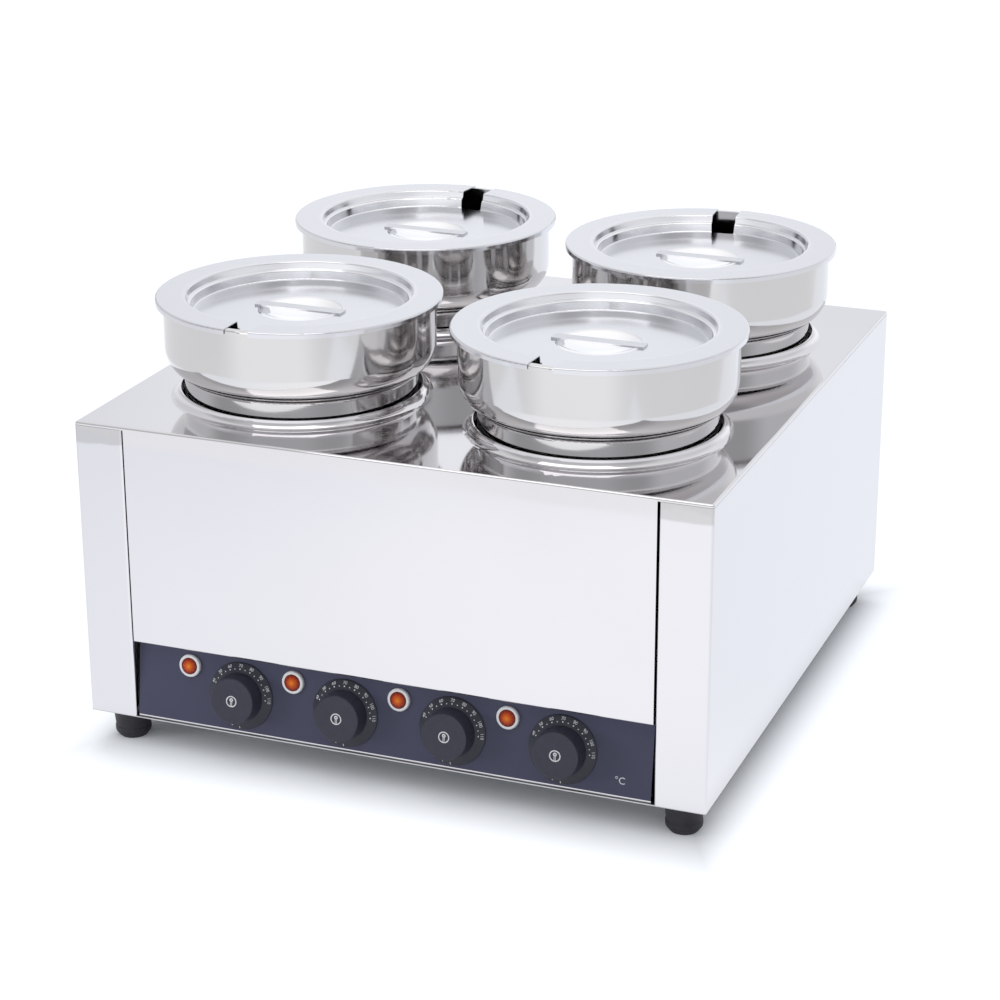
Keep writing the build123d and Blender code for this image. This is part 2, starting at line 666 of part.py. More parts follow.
def pot():
    """Spun pot: neck that drops into the well, wider belly above the deck and a turned-down rim."""
    top = DECK_TOP + POT_RISE
    outer = pot_wall(0)
    inner = pot_wall(POT_WALL)
    lip = POT_RIM_RADIUS - POT_WALL
    rim = [
        outer[-1] @ 1,
        (POT_BELLY_RADIUS, top - POT_WALL),
        (lip, top - POT_WALL),
        (lip, top - POT_RIM_LIP),
        (POT_RIM_RADIUS, top - POT_RIM_LIP),
        (POT_RIM_RADIUS, top),
        (POT_BELLY_RADIUS - POT_WALL, top),
        inner[-1] @ 1,
    ]
    middle = Line(inner[0] @ 0, outer[0] @ 0)
    section = make_face([*outer, Polyline(*rim), *inner, middle])
    section = fillet(nearest(section, [Vector(POT_RIM_RADIUS, top)]), POT_RIM_ROUND)
    section = fillet(nearest(section, [Vector(lip, top - POT_WALL)]), POT_RIM_ROUND - POT_WALL)
    return turned(section)


def lid(azimuth):
    """Pressed lid: flat rim with a short skirt, two steps down to its floor, finger dish and notch."""
    ledge = LID_RIM_INNER - LID_WALL_LEAN
    wall = ledge - LID_LEDGE_WIDTH
    floor = LID_TOP - LID_DEPTH
    corners = [
        (LID_RADIUS, LID_TOP - LID_SKIRT),
        (LID_RADIUS, LID_TOP),
        (LID_RIM_INNER, LID_TOP),
        (ledge, LID_TOP - LID_STEP_DEPTH),
        (wall, LID_TOP - LID_STEP_DEPTH),
        (wall - LID_WALL_LEAN, floor),
        (DISH_RADIUS, floor),
    ]
    plate = turned(folded(corners, LID_SHEET, LID_FOLD))
    centre = (0, floor - DISH_DEPTH + DISH_SPHERE)
    under_radius = DISH_SPHERE + LID_SHEET
    upper = CenterArc(centre, DISH_SPHERE, -90, math.degrees(math.asin(DISH_RADIUS / DISH_SPHERE)))
    under = CenterArc(centre, under_radius, -90, math.degrees(math.asin(DISH_RADIUS / under_radius)))
    dish = turned(make_face([upper, Line(upper @ 1, under @ 1), under, Line(under @ 0, upper @ 0)]))
    notch = slab(
        (NOTCH_END_RADIUS, 2 * LID_RADIUS),
        (-NOTCH_WIDTH / 2, NOTCH_WIDTH / 2),
        (floor - LID_DEPTH, LID_TOP + LID_DEPTH),
    )
    notch = fillet(notch.edges().filter_by(Axis.Z).group_by(Axis.X)[0], NOTCH_CORNER)
    return plate + dish - Rot(0, 0, azimuth) * notch


def lid_handle():
    """Flat bar across the finger dish, its rounded ends welded to the lid's floor."""
    floor = LID_TOP - LID_DEPTH
    reach = DISH_RADIUS + HANDLE_LANDING
    bar = slab((-reach, reach), (-HANDLE_WIDTH / 2, HANDLE_WIDTH / 2), (floor, floor + HANDLE_THICKNESS))
    return bar & upright(reach, floor, floor + HANDLE_THICKNESS)


def foot_places():
    """Middles of the four feet."""
    x = SIDE - FOOT_INSET
    y = CASE_DEPTH / 2 - FOOT_INSET
    return [(-x, -y), (x, -y), (-x, y), (x, y)]


def foot():
    """Tapered rubber foot with a ridge above its rounded sole and a pocket for the screw."""
    shank = FOOT_SCREW_RADIUS + SCREW_CLEARANCE
    knee = FOOT_RIDGE_HEIGHT / 2
    corners = [
        (FOOT_POCKET_RADIUS, 0),
        (FOOT_SOLE_RADIUS, 0),
        (FOOT_RIDGE_RADIUS, knee),
        (FOOT_RIDGE_RADIUS, FOOT_RIDGE_HEIGHT),
        (FOOT_WAIST_RADIUS, FOOT_RIDGE_HEIGHT + SHEET),
        (FOOT_TOP_RADIUS, FOOT_HEIGHT),
        (shank, FOOT_HEIGHT),
        (shank, FOOT_POCKET_DEPTH),
        (FOOT_POCKET_RADIUS, FOOT_POCKET_DEPTH),
    ]
    section = outline(corners)
    return turned(fillet(nearest(section, [Vector(FOOT_RIDGE_RADIUS, knee)]), knee))


def foot_screw():
    """Screw up through a foot into the casing, and its nut on the side panel's flange."""
    head = upright(2 * FOOT_SCREW_RADIUS, FOOT_POCKET_DEPTH - FOOT_SCREW_RADIUS, FOOT_POCKET_DEPTH)
    seat = BASE_TOP + SHEET
    end = seat + 3 * FOOT_SCREW_RADIUS
    screw = head + upright(FOOT_SCREW_RADIUS, FOOT_POCKET_DEPTH, end)
    nut = hexagon(4 * FOOT_SCREW_RADIUS, seat, seat + 2 * FOOT_SCREW_RADIUS)
    nut -= upright(FOOT_SCREW_RADIUS + SPINDLE_CLEARANCE, seat, end)
    return [screw, nut]


def cable_gland():
    """Cable gland: hexagon and dome outside the rear panel, thread inside, open bore for a cord."""
    dome = upright(GLAND_DOME_RADIUS, GLAND_HEX, GLAND_REACH)
    dome = fillet(dome.edges().sort_by(Axis.Z)[-1], GLAND_DOME_ROUND)
    gland = hexagon(GLAND_FLATS, 0, GLAND_HEX) + dome + upright(GLAND_THREAD_RADIUS, -GLAND_INSIDE, 0)
    return gland - upright(GLAND_BORE, -GLAND_INSIDE, GLAND_REACH)


def gland_nut():
    """Lock nut on the gland's thread behind the rear panel."""
    nut = hexagon(LOCK_NUT_FLATS, -SHEET - LOCK_NUT_HEIGHT, -SHEET)
    return nut - upright(GLAND_THREAD_RADIUS + SPINDLE_CLEARANCE, -SHEET - LOCK_NUT_HEIGHT, -SHEET)


def terminal_block():
    """Mains terminal block on the base plate with a screw well in each way."""
    block = slab(
        (GLAND_X - BLOCK_LENGTH, GLAND_X),
        (REAR - BLOCK_FROM_REAR - BLOCK_WIDTH, REAR - BLOCK_FROM_REAR),
        (BASE_TOP, BASE_TOP + BLOCK_HEIGHT),
    )
    top = BASE_TOP + BLOCK_HEIGHT
    screw_well = upright(BLOCK_SCREW_RADIUS, top - BLOCK_SCREW_DEPTH, top)
    for i in range(BLOCK_WAYS):
        x = GLAND_X - BLOCK_LENGTH * (i + 0.5) / BLOCK_WAYS
        block -= Pos(x, REAR - BLOCK_FROM_REAR - BLOCK_WIDTH / 2, 0) * screw_well
    return block


def behind_thermostat(name, side):
    """Point just behind a thermostat's back face, to one side of its middle."""
    local = (KNOB_X[name] + side, KNOB_LINE + THERMOSTAT_HEIGHT / 4, BODY_BACK - ROUTE_GAP)
    return PANEL.from_local_coords(local)


def sensor(name):
    """Sensor bulb under a well's clamp disc and its capillary tube down to the thermostat."""
    x, y = PLACES[name]
    level = CLAMP_BOTTOM - BULB_RADIUS - BULB_GAP
    start = Vector(x + BULB_LENGTH / 2, y + BULB_Y, level)
    bulb = Pos(x, y + BULB_Y, level) * Rot(0, 90, 0) * Cylinder(BULB_RADIUS, BULB_LENGTH)
    end = behind_thermostat(name, THERMOSTAT_SIDE)
    run = CLAMP_BOTTOM - CAPILLARY_LEVEL
    turn = end.Y + CAPILLARY_SIDE
    route = [
        start,
        start + Vector(CAPILLARY_SIDE, 0, 0),
        Vector(start.X + CAPILLARY_SIDE, start.Y, run),
        Vector(end.X, start.Y, run),
        Vector(end.X, turn, run),
        Vector(end.X, turn, end.Z),
        end,
    ]
    return bulb + tube(route, CAPILLARY_RADIUS, ROUTE_BEND)


def heater_lead(name):
    """Lead from a thermostat's back up to the terminal post of its heating element."""
    x, y = PLACES[name]
    start = behind_thermostat(name, -THERMOSTAT_SIDE)
    run = CLAMP_BOTTOM - LEAD_LEVEL
    turn = start.Y + 2 * CAPILLARY_SIDE
    post = Vector(x + TERMINAL_X, y + TERMINAL_Y, CLAMP_BOTTOM - TERMINAL_REACH)
    route = [
        start,
        Vector(start.X, turn, start.Z),
        Vector(start.X, turn, run),
        Vector(start.X, post.Y, run),
        Vector(post.X, post.Y, run),
        post,
    ]
    return tube(route, LEAD_RADIUS, ROUTE_BEND)


def mains_trunk():
    """Bundle on the base plate from the terminal block forward and along behind the thermostats."""
    level = BASE_TOP + TRUNK_RADIUS + ROUTE_GAP
    x = GLAND_X - BLOCK_LENGTH / 2
    y = FRONT + TRUNK_FROM_FRONT
    route = [
        Vector(x, REAR - BLOCK_FROM_REAR - BLOCK_WIDTH - ROUTE_GAP, level),
        Vector(x, y, level),
        Vector(KNOB_X[CONTROLS[0]], y, level),
    ]
    return tube(route, TRUNK_RADIUS, TRUNK_BEND)


at_panel_lamps = [PANEL * Pos(x, LAMP_LINE, 0) for x in LAMP_X]
at_knobs = {name: PANEL * Pos(x, KNOB_LINE, 0) for name, x in KNOB_X.items()}
at_wells = {name: Pos(x, y, 0) for name, (x, y) in PLACES.items()}
at_gland = Pos(GLAND_X, REAR, FOOT_HEIGHT + GLAND_Z) * Rot(-90, 0, 0)
at_casing_screws = rear_screw_places() + base_screw_places()
at_bracket_screws = [
    place * Pos(side * BRACKET_SCREW_SPACING / 2, 0, 0) for place in at_knobs.values() for side in (-1, 1)
]

parts = {
    "base_plate": base_plate(),
    "left_side_panel": side_panel(),
    "right_side_panel": mirror(side_panel(), about=Plane.YZ),
    "rear_panel": rear_panel(),
    "top_shell": top_shell(),
    "control_panel": control_panel(),
    "panel_overlay": panel_overlay(),
    "lamp_bezels": group([place * lamp_bezel() for place in at_panel_lamps]),
    "lamp_lenses": group([place * lamp_lens() for place in at_panel_lamps]),
    "lamp_bodies": group([place * lamp_body() for place in at_panel_lamps]),
    "dial_rings": group([place * dial_ring() for place in at_knobs.values()]),
    "bracket_screws": group([place * bracket_screw() for place in at_bracket_screws]),
    "heater_clamps": group([place * heater_clamp() for place in at_wells.values()]),
    "heater_nuts": group([place * heater_nut() for place in at_wells.values()]),
    "sensors": group([sensor(name) for name in CONTROLS]),
    "heater_leads": group([heater_lead(name) for name in CONTROLS]),
    "mains_trunk": mains_trunk(),
    "terminal_block": terminal_block(),
    "cable_gland": at_gland * cable_gland(),
    "gland_nut": at_gland * gland_nut(),
    "casing_screws": group([place * casing_screw() for place in at_casing_screws]),
    "foot_screws": group([Pos(x, y, 0) * piece for x, y in foot_places() for piece in foot_screw()]),
}
for name, (x, y) in zip(PLACES, foot_places()):
    parts[f"foot_{name}"] = Pos(x, y, 0) * foot()
for name, place in at_wells.items():
    parts[f"well_{name}"] = place * well()
    parts[f"heater_{name}"] = place * heater()
    parts[f"pot_{name}"] = place * pot()
    parts[f"lid_{name}"] = place * lid(NOTCH_AZIMUTH[name])
    parts[f"lid_handle_{name}"] = place * lid_handle()
for name, place in at_knobs.items():
    parts[f"thermostat_{name}"] = place * thermostat()
    parts[f"spindle_{name}"] = place * spindle_shape(0, 0)
    parts[f"knob_{name}"] = place * knob()

os.makedirs("parts", exist_ok=True)
for name, shape in parts.items():
    export_step(shape, f"parts/{name}.step")
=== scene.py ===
import json
import math

import bmesh
import bpy
import numpy as np
from mathutils import Matrix, Vector


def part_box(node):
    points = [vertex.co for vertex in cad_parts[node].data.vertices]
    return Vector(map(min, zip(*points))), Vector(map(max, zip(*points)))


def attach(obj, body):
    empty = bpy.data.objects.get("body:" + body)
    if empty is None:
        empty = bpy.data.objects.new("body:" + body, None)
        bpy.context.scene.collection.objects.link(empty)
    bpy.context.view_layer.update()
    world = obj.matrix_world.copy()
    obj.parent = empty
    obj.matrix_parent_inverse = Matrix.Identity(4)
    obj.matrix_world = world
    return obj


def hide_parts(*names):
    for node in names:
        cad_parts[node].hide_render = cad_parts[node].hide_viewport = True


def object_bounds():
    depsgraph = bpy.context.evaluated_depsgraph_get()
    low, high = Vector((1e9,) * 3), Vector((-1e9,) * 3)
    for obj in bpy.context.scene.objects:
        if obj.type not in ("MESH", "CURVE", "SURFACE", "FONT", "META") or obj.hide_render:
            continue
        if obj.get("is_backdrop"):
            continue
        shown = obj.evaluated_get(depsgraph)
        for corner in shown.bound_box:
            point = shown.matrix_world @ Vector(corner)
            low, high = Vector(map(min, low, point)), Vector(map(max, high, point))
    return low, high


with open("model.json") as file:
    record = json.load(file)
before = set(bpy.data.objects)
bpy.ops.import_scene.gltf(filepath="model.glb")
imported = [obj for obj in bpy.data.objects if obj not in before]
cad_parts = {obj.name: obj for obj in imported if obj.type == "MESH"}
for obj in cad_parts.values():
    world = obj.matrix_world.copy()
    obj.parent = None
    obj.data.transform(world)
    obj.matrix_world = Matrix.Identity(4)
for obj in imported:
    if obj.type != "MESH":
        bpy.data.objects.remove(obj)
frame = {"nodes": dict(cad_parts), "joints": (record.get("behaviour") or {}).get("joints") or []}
cad_low, cad_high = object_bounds()


# Rubber feet
# Four tapered feet moulded in black rubber, each held up against the base by a screw in its pocket.
# Their skin is dull and a little dusty, with the fine grain of the mould.
PLACES = ("front_left", "front_right", "rear_left", "rear_right")


def finish(name, color, rough, metal=0.0, gloss=0.5):
    """A new finish: one Principled shader with the values that are the same all over on its own sockets."""
    material = bpy.data.materials.new(name)
    material.use_nodes = True
    shader = material.node_tree.nodes["Principled BSDF"]
    shader.inputs["Base Color"].default_value = (*color, 1.0)
    shader.inputs["Roughness"].default_value = rough
    shader.inputs["Metallic"].default_value = metal
    shader.inputs["Specular IOR Level"].default_value = gloss
    return material


def placed(material, centre=(0.0, 0.0, 0.0), stretch=(1.0, 1.0, 1.0)):
    """Object coordinates counted from a centre and multiplied along each axis."""
    tree = material.node_tree
    place = tree.nodes.new("ShaderNodeTexCoord")
    shift = tree.nodes.new("ShaderNodeMapping")
    shift.inputs["Location"].default_value = [-c * s for c, s in zip(centre, stretch)]
    shift.inputs["Scale"].default_value = stretch
    tree.links.new(place.outputs["Object"], shift.inputs["Vector"])
    return shift.outputs["Vector"]


def grain(material, waves, stretch=(1.0, 1.0, 1.0), detail=2.0):
    """Noise from 0 to 1 with so many waves per metre, multiplied along each axis."""
    tree = material.node_tree
    noise = tree.nodes.new("ShaderNodeTexNoise")
    noise.inputs["Scale"].default_value = waves
    noise.inputs["Detail"].default_value = detail
    tree.links.new(placed(material, stretch=stretch), noise.inputs["Vector"])
    return noise.outputs["Fac"]


def ranged(material, value, low, high, start=0.3, end=0.7):
    """A pattern's stretch from start to end, carried over smoothly to the stretch from low to high."""
    tree = material.node_tree
    span = tree.nodes.new("ShaderNodeMapRange")
    span.interpolation_type = "SMOOTHSTEP"
    span.inputs["From Min"].default_value = start
    span.inputs["From Max"].default_value = end
    span.inputs["To Min"].default_value = low
    span.inputs["To Max"].default_value = high
    tree.links.new(value, span.inputs["Value"])
    return span.outputs["Result"]


def roughen(material, value):
    """The shader's roughness follows a pattern."""
    material.node_tree.links.new(value, material.node_tree.nodes["Principled BSDF"].inputs["Roughness"])


def ramped(material, value, *stops):
    """Colours that follow a pattern through stops of position and colour."""
    tree = material.node_tree
    ramp = tree.nodes.new("ShaderNodeValToRGB")
    marks = ramp.color_ramp.elements
    for mark, (position, color) in zip(marks, (stops[0], stops[-1])):
        mark.position = position
        mark.color = (*color, 1.0)
    for position, color in stops[1:-1]:
        marks.new(position).color = (*color, 1.0)
    tree.links.new(value, ramp.inputs["Fac"])
    return ramp.outputs["Color"]


def tint(material, value, *stops):
    """The shader's base colour follows a pattern through stops of position and colour."""
    shader = material.node_tree.nodes["Principled BSDF"]
    material.node_tree.links.new(ramped(material, value, *stops), shader.inputs["Base Color"])


def relief(material, value, height):
    """Bump of a height in metres from a pattern, laid over any bump that the finish already has."""
    tree = material.node_tree
    normal = tree.nodes["Principled BSDF"].inputs["Normal"]
    bump = tree.nodes.new("ShaderNodeBump")
    bump.inputs["Distance"].default_value = height
    tree.links.new(value, bump.inputs["Height"])
    if normal.is_linked:
        tree.links.new(normal.links[0].from_socket, bump.inputs["Normal"])
    tree.links.new(bump.outputs["Normal"], normal)


def dress(material, *nodes):
    """Gives CAD nodes this finish."""
    for node in nodes:
        slots = frame["nodes"][node].data.materials
        slots.clear()
        slots.append(material)


rubber = finish("foot_rubber", (0.023, 0.021, 0.028), 0.6)
dust = grain(rubber, 90.0, detail=5.0)
tint(rubber, dust, (0.3, (0.019, 0.017, 0.023)), (0.7, (0.028, 0.026, 0.034)))
roughen(rubber, ranged(rubber, dust, 0.5, 0.72))
relief(rubber, grain(rubber, 2600.0), 0.00004)
dress(rubber, *[f"foot_{place}" for place in PLACES])


# Base plate, wells and heater clamps
# Mill-finish stainless sheet that nobody sees in use, cut flat for the base and deep-drawn for the wells.
# It is duller than the casing, with the long faint lines of the rolling mill.
mill_steel = finish("mill_steel", (0.55, 0.55, 0.56), 0.34, 1.0)
rolling = grain(mill_steel, 6.0, (3.0, 160.0, 160.0), 4.0)
tint(mill_steel, rolling, (0.3, (0.50, 0.50, 0.51)), (0.7, (0.60, 0.60, 0.61)))
roughen(mill_steel, ranged(mill_steel, rolling, 0.28, 0.42))
relief(mill_steel, rolling, 0.00001)
dress(mill_steel, "base_plate", "heater_clamps", *[f"well_{place}" for place in PLACES])


# Casing
# Side panels, rear panel, control panel and the top shell, folded from mirror-polished stainless sheet.
# Polished sheet is never quite flat or clean: it has a slow wave, a faint haze and lines of the belt, and the
# side panels are drawn in a little where they are welded under the deck's corners; a darker wavy band painted
# along the top of the pillars' front faces is a painted reflection.
SHEET_STEEL = (0.715, 0.70, 0.715)


def polished_sheet(name):
    """Mirror-polished stainless with a slow wave in its flat faces, an uneven haze and level belt lines."""
    steel = finish(name, SHEET_STEEL, 0.05, 1.0)
    haze = grain(steel, 6.0, detail=6.0)
    tint(steel, haze, (0.3, (0.705, 0.69, 0.705)), (0.7, (0.725, 0.71, 0.725)))
    roughen(steel, ranged(steel, haze, 0.035, 0.07))
    relief(steel, grain(steel, 4.5), 0.0003)
    relief(steel, grain(steel, 1.0, (1.5, 1.5, 700.0), 3.0), 0.0000012)
    return steel


dress(polished_sheet("shell_steel"), "top_shell", "rear_panel", "control_panel")
wall_steel = polished_sheet("wall_steel")
WELD_START, WELD_END = 0.272, 0.302
PAINTED_BAND_START, PAINTED_BAND_END, PAINTED_BAND_WAVE, PAINTED_BAND_STEEL = 0.2862, 0.2892, 0.010, (0.575, 0.56, 0.56)
PILLAR_FACE, PILLAR_BACK = -0.2894, -0.2880


def worked(tree, operation, first, second=0.0):
    """One step of arithmetic on two values, each a socket or a number."""
    step = tree.nodes.new("ShaderNodeMath")
    step.operation = operation
    for value, socket in zip((first, second), step.inputs):
        if isinstance(value, float):
            socket.default_value = value
        else:
            tree.links.new(value, socket)
    return step.outputs[0]


split = wall_steel.node_tree.nodes.new("ShaderNodeSeparateXYZ")
wall_steel.node_tree.links.new(placed(wall_steel), split.inputs[0])
near_weld = ranged(wall_steel, split.outputs["Z"], 0.0, 1.0, WELD_START, WELD_END)
drawn_in = worked(wall_steel.node_tree, "MULTIPLY", near_weld, grain(wall_steel, 26.0))
relief(wall_steel, drawn_in, 0.0005)
# Painted reflection: a darker band with a wavy lower edge along the top of each pillar's front face, not a
# stain in the steel.
wave = worked(wall_steel.node_tree, "MULTIPLY", grain(wall_steel, 24.0), PAINTED_BAND_WAVE)
level = worked(wall_steel.node_tree, "ADD", split.outputs["Z"], wave)
painted_band_low, painted_band_high = PAINTED_BAND_START + PAINTED_BAND_WAVE / 2, PAINTED_BAND_END + PAINTED_BAND_WAVE / 2
painted_band = ranged(wall_steel, level, 0.0, 1.0, painted_band_low, painted_band_high)
on_pillar = ranged(wall_steel, split.outputs["Y"], 1.0, 0.0, PILLAR_FACE, PILLAR_BACK)
painted_band = worked(wall_steel.node_tree, "MULTIPLY", painted_band, on_pillar)
tint(wall_steel, painted_band, (0.0, SHEET_STEEL), (1.0, PAINTED_BAND_STEEL))
dress(wall_steel, "left_side_panel", "right_side_panel")


# Fasteners
# Turned stainless screws and nuts that hold the casing, the feet, the thermostats and the heaters.
# The casing's pan-head screws have a cross recess punched in the crown.
turned_steel = finish("turned_steel", (0.62, 0.62, 0.62), 0.28, 1.0)
roughen(turned_steel, ranged(turned_steel, grain(turned_steel, 900.0, detail=4.0), 0.2, 0.36))
dress(turned_steel, "foot_screws", "bracket_screws", "heater_nuts")
dress(turned_steel, *[f"spindle_{place}" for place in PLACES])


def lathe(radii, levels, steps):
    """A profile turned about the local Z axis: each radius and level goes round a circle in equal steps,
    which gives an array of rings by steps by xyz."""
    angle = np.linspace(0.0, 2 * np.pi, steps, endpoint=False)
    radii = np.asarray(radii)[:, None]
    levels = np.broadcast_to(np.asarray(levels)[:, None], (len(radii), steps))
    return np.stack([radii * np.cos(angle), radii * np.sin(angle), levels], axis=-1)


def strips(rings, steps, closed=False):
    """Corner numbers of the faces between each ring and the next, all round.
    A closed profile also joins its last ring to its first."""
    ring, step = np.meshgrid(np.arange(rings if closed else rings - 1), np.arange(steps), indexing="ij")
    above = (ring + 1) % rings
    beside = (step + 1) % steps
    corners = [ring * steps + step, ring * steps + beside, above * steps + beside, above * steps + step]
    return np.stack(corners, axis=-1).reshape(-1, 4)


def copies(points, faces, places, turns):
    """The same shape at several places, each turned by a matrix whose rows are its own three axes."""
    points = points.reshape(-1, 3)
    moved = np.asarray(places)[:, None, :] + np.einsum("pk,nkj->npj", points, np.asarray(turns))
    first = np.arange(len(places))[:, None, None] * len(points)
    return moved.reshape(-1, 3), (faces[None] + first).reshape(-1, faces.shape[1])


def piece(name, points, faces, material, body):
    """A new mesh from arrays: doubles at poles are merged, faces point outwards, and it rides on a body."""
    mesh = bpy.data.meshes.new(name)
    mesh.from_pydata(points.tolist(), [], [list(face) for face in faces])
    shell = bmesh.new()
    shell.from_mesh(mesh)
    bmesh.ops.remove_doubles(shell, verts=shell.verts, dist=1e-7)
    bmesh.ops.recalc_face_normals(shell, faces=shell.faces)
    shell.to_mesh(mesh)
    shell.free()
    mesh.materials.append(material)
    made = bpy.data.objects.new(name, mesh)
    bpy.context.scene.collection.objects.link(made)
    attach(made, body)
    return made


HEAD_RADIUS, HEAD_HEIGHT, HEAD_ROUND = 0.004, 0.0024, 0.0012
SHANK_RADIUS, SHANK_LENGTH = 0.002, 0.008
RECESS_WIDTH, RECESS_REACH, RECESS_DEPTH, RECESS_DRAFT = 0.00055, 0.0021, 0.0014, 0.0003
REAR_COLUMN, REAR_LEVELS = 0.275, (0.070, 0.170, 0.270)
BASE_COLUMN, BASE_ROWS = 0.265, (-0.120, 0.0, 0.120)
TWIST, CROWN_RINGS, BEND_RINGS, SCREW_STEPS = 0.7, 16, 5, 48


def bar(along, across):
    """Share from 0 to 1 of a recess bar's depth: full inside its width and reach, sloping at its walls."""
    wide = np.clip((RECESS_WIDTH - np.abs(across)) / RECESS_DRAFT + 0.5, 0.0, 1.0)
    return wide * np.clip((RECESS_REACH - np.abs(along)) / RECESS_DRAFT + 0.5, 0.0, 1.0)


crown = np.linspace(0.0, HEAD_RADIUS - HEAD_ROUND, CROWN_RINGS)
bend = np.linspace(0.0, np.pi / 2, BEND_RINGS)[1:]
screw_radii = [*crown, *(crown[-1] + HEAD_ROUND * np.sin(bend)), HEAD_RADIUS, SHANK_RADIUS, SHANK_RADIUS, 0.0]
crown_levels = np.full(CROWN_RINGS, HEAD_HEIGHT)
screw_levels = [*crown_levels, *(HEAD_HEIGHT - HEAD_ROUND * (1 - np.cos(bend))), 0.0, 0.0]
screw = lathe(screw_radii, screw_levels + [-SHANK_LENGTH, -SHANK_LENGTH], SCREW_STEPS)
head = screw[:CROWN_RINGS]
head[..., 2] -= RECESS_DEPTH * np.maximum(bar(head[..., 0], head[..., 1]), bar(head[..., 1], head[..., 0]))
rear_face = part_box("rear_panel")[1].y
base_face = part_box("base_plate")[0].z
rear_seats = [(side * REAR_COLUMN, rear_face, level) for side in (-1, 1) for level in REAR_LEVELS]
base_seats = [(side * BASE_COLUMN, row, base_face) for side in (-1, 1) for row in BASE_ROWS]
seats = rear_seats + base_seats
BACKWARD = np.array([(-1.0, 0.0, 0.0), (0.0, 0.0, 1.0), (0.0, 1.0, 0.0)])
DOWNWARD = np.array([(1.0, 0.0, 0.0), (0.0, -1.0, 0.0), (0.0, 0.0, -1.0)])
twist = TWIST * np.arange(len(seats))
spin = np.stack([np.cos(twist), np.sin(twist), -np.sin(twist), np.cos(twist)], axis=-1).reshape(-1, 2, 2)
axes = np.stack([BACKWARD] * len(rear_seats) + [DOWNWARD] * len(base_seats))
axes[:, :2] = spin @ axes[:, :2]
points, faces = copies(screw, strips(*screw.shape[:2]), seats, axes)
cross_heads = piece("cross_head_screws", points, faces, turned_steel, "casing")
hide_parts("casing_screws")


# Heating and wiring
# Pressed mica heating elements, drawn copper sensor tubes, silicone leads, and the moulded thermostat bodies,
# lamp holders and mains terminals, all shut inside the casing.
mica = finish("heater_mica", (0.35, 0.27, 0.2), 0.5)
tint(mica, grain(mica, 120.0, detail=6.0), (0.3, (0.28, 0.21, 0.15)), (0.7, (0.42, 0.34, 0.26)))
dress(mica, *[f"heater_{place}" for place in PLACES])
copper = finish("sensor_copper", (0.75, 0.42, 0.28), 0.3, 1.0)
tint(copper, grain(copper, 60.0, detail=4.0), (0.3, (0.62, 0.33, 0.22)), (0.7, (0.80, 0.47, 0.32)))
dress(copper, "sensors")
lead_skin = finish("lead_insulation", (0.25, 0.07, 0.05), 0.5)
tint(lead_skin, grain(lead_skin, 200.0), (0.3, (0.21, 0.05, 0.04)), (0.7, (0.29, 0.09, 0.06)))
dress(lead_skin, "heater_leads", "mains_trunk")
white_moulding = finish("white_moulding", (0.8, 0.79, 0.75), 0.5)
cast = grain(white_moulding, 40.0, detail=4.0)
tint(white_moulding, cast, (0.3, (0.77, 0.76, 0.72)), (0.7, (0.82, 0.81, 0.77)))
relief(white_moulding, grain(white_moulding, 1500.0), 0.00003)
dress(white_moulding, "terminal_block", "lamp_bodies", *[f"thermostat_{place}" for place in PLACES])


# Cable gland
# Black nylon gland and lock nut at the rear, where a mains cord enters; its dome nut has moulded grip flutes.
nylon = finish("gland_nylon", (0.03, 0.03, 0.03), 0.45)
roughen(nylon, ranged(nylon, grain(nylon, 300.0, detail=4.0), 0.36, 0.52))
relief(nylon, grain(nylon, 1800.0), 0.00003)
dress(nylon, "cable_gland", "gland_nut")
GRIP_RADIUS, GRIP_START, GRIP_END, GRIP_HEIGHT, GRIP_FLUTES = 0.010, 0.0066, 0.0130, 0.0005, 18
GRIP_SKIN, GRIP_RINGS, GRIP_STEPS = 0.0003, 9, 144
FLUTE_MEAN, FLUTE_SWING, FADE_POWER = 0.55, 0.45, 6
grip_rise = np.linspace(0.0, 1.0, GRIP_RINGS)
grip_levels = GRIP_START + (GRIP_END - GRIP_START) * grip_rise
sleeve_radii = [GRIP_RADIUS] * GRIP_RINGS + [GRIP_RADIUS - GRIP_SKIN] * 2
sleeve = lathe(sleeve_radii, [*grip_levels, GRIP_END, GRIP_START], GRIP_STEPS)
skin = sleeve[:GRIP_RINGS]
round_it = np.arctan2(skin[..., 1], skin[..., 0])
fade = 1.0 - (2.0 * grip_rise[:, None] - 1.0) ** FADE_POWER
flutes = FLUTE_MEAN + FLUTE_SWING * np.cos(GRIP_FLUTES * round_it)
skin[..., :2] *= (1.0 + fade * GRIP_HEIGHT / GRIP_RADIUS * flutes)[..., None]
gland_low, gland_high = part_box("cable_gland")
gland_seat = ((gland_low.x + gland_high.x) / 2, rear_face, (gland_low.z + gland_high.z) / 2)
points, faces = copies(sleeve, strips(*sleeve.shape[:2], closed=True), [gland_seat], [BACKWARD])
piece("gland_grip", points, faces, nylon, "casing")


# Panel overlay
# A dark slate film printed from behind and stuck to the tilted steel panel, with a fine grain in its face.
# The unit of the dials is printed in white at its right-hand end.
overlay_film = finish("panel_overlay", (0.063, 0.065, 0.112), 0.42, gloss=0.3)
film = grain(overlay_film, 14.0, detail=5.0)
tint(overlay_film, film, (0.3, (0.059, 0.061, 0.107)), (0.7, (0.067, 0.069, 0.117)))
roughen(overlay_film, ranged(overlay_film, film, 0.38, 0.48))
relief(overlay_film, grain(overlay_film, 3200.0), 0.00002)
dress(overlay_film, "panel_overlay")

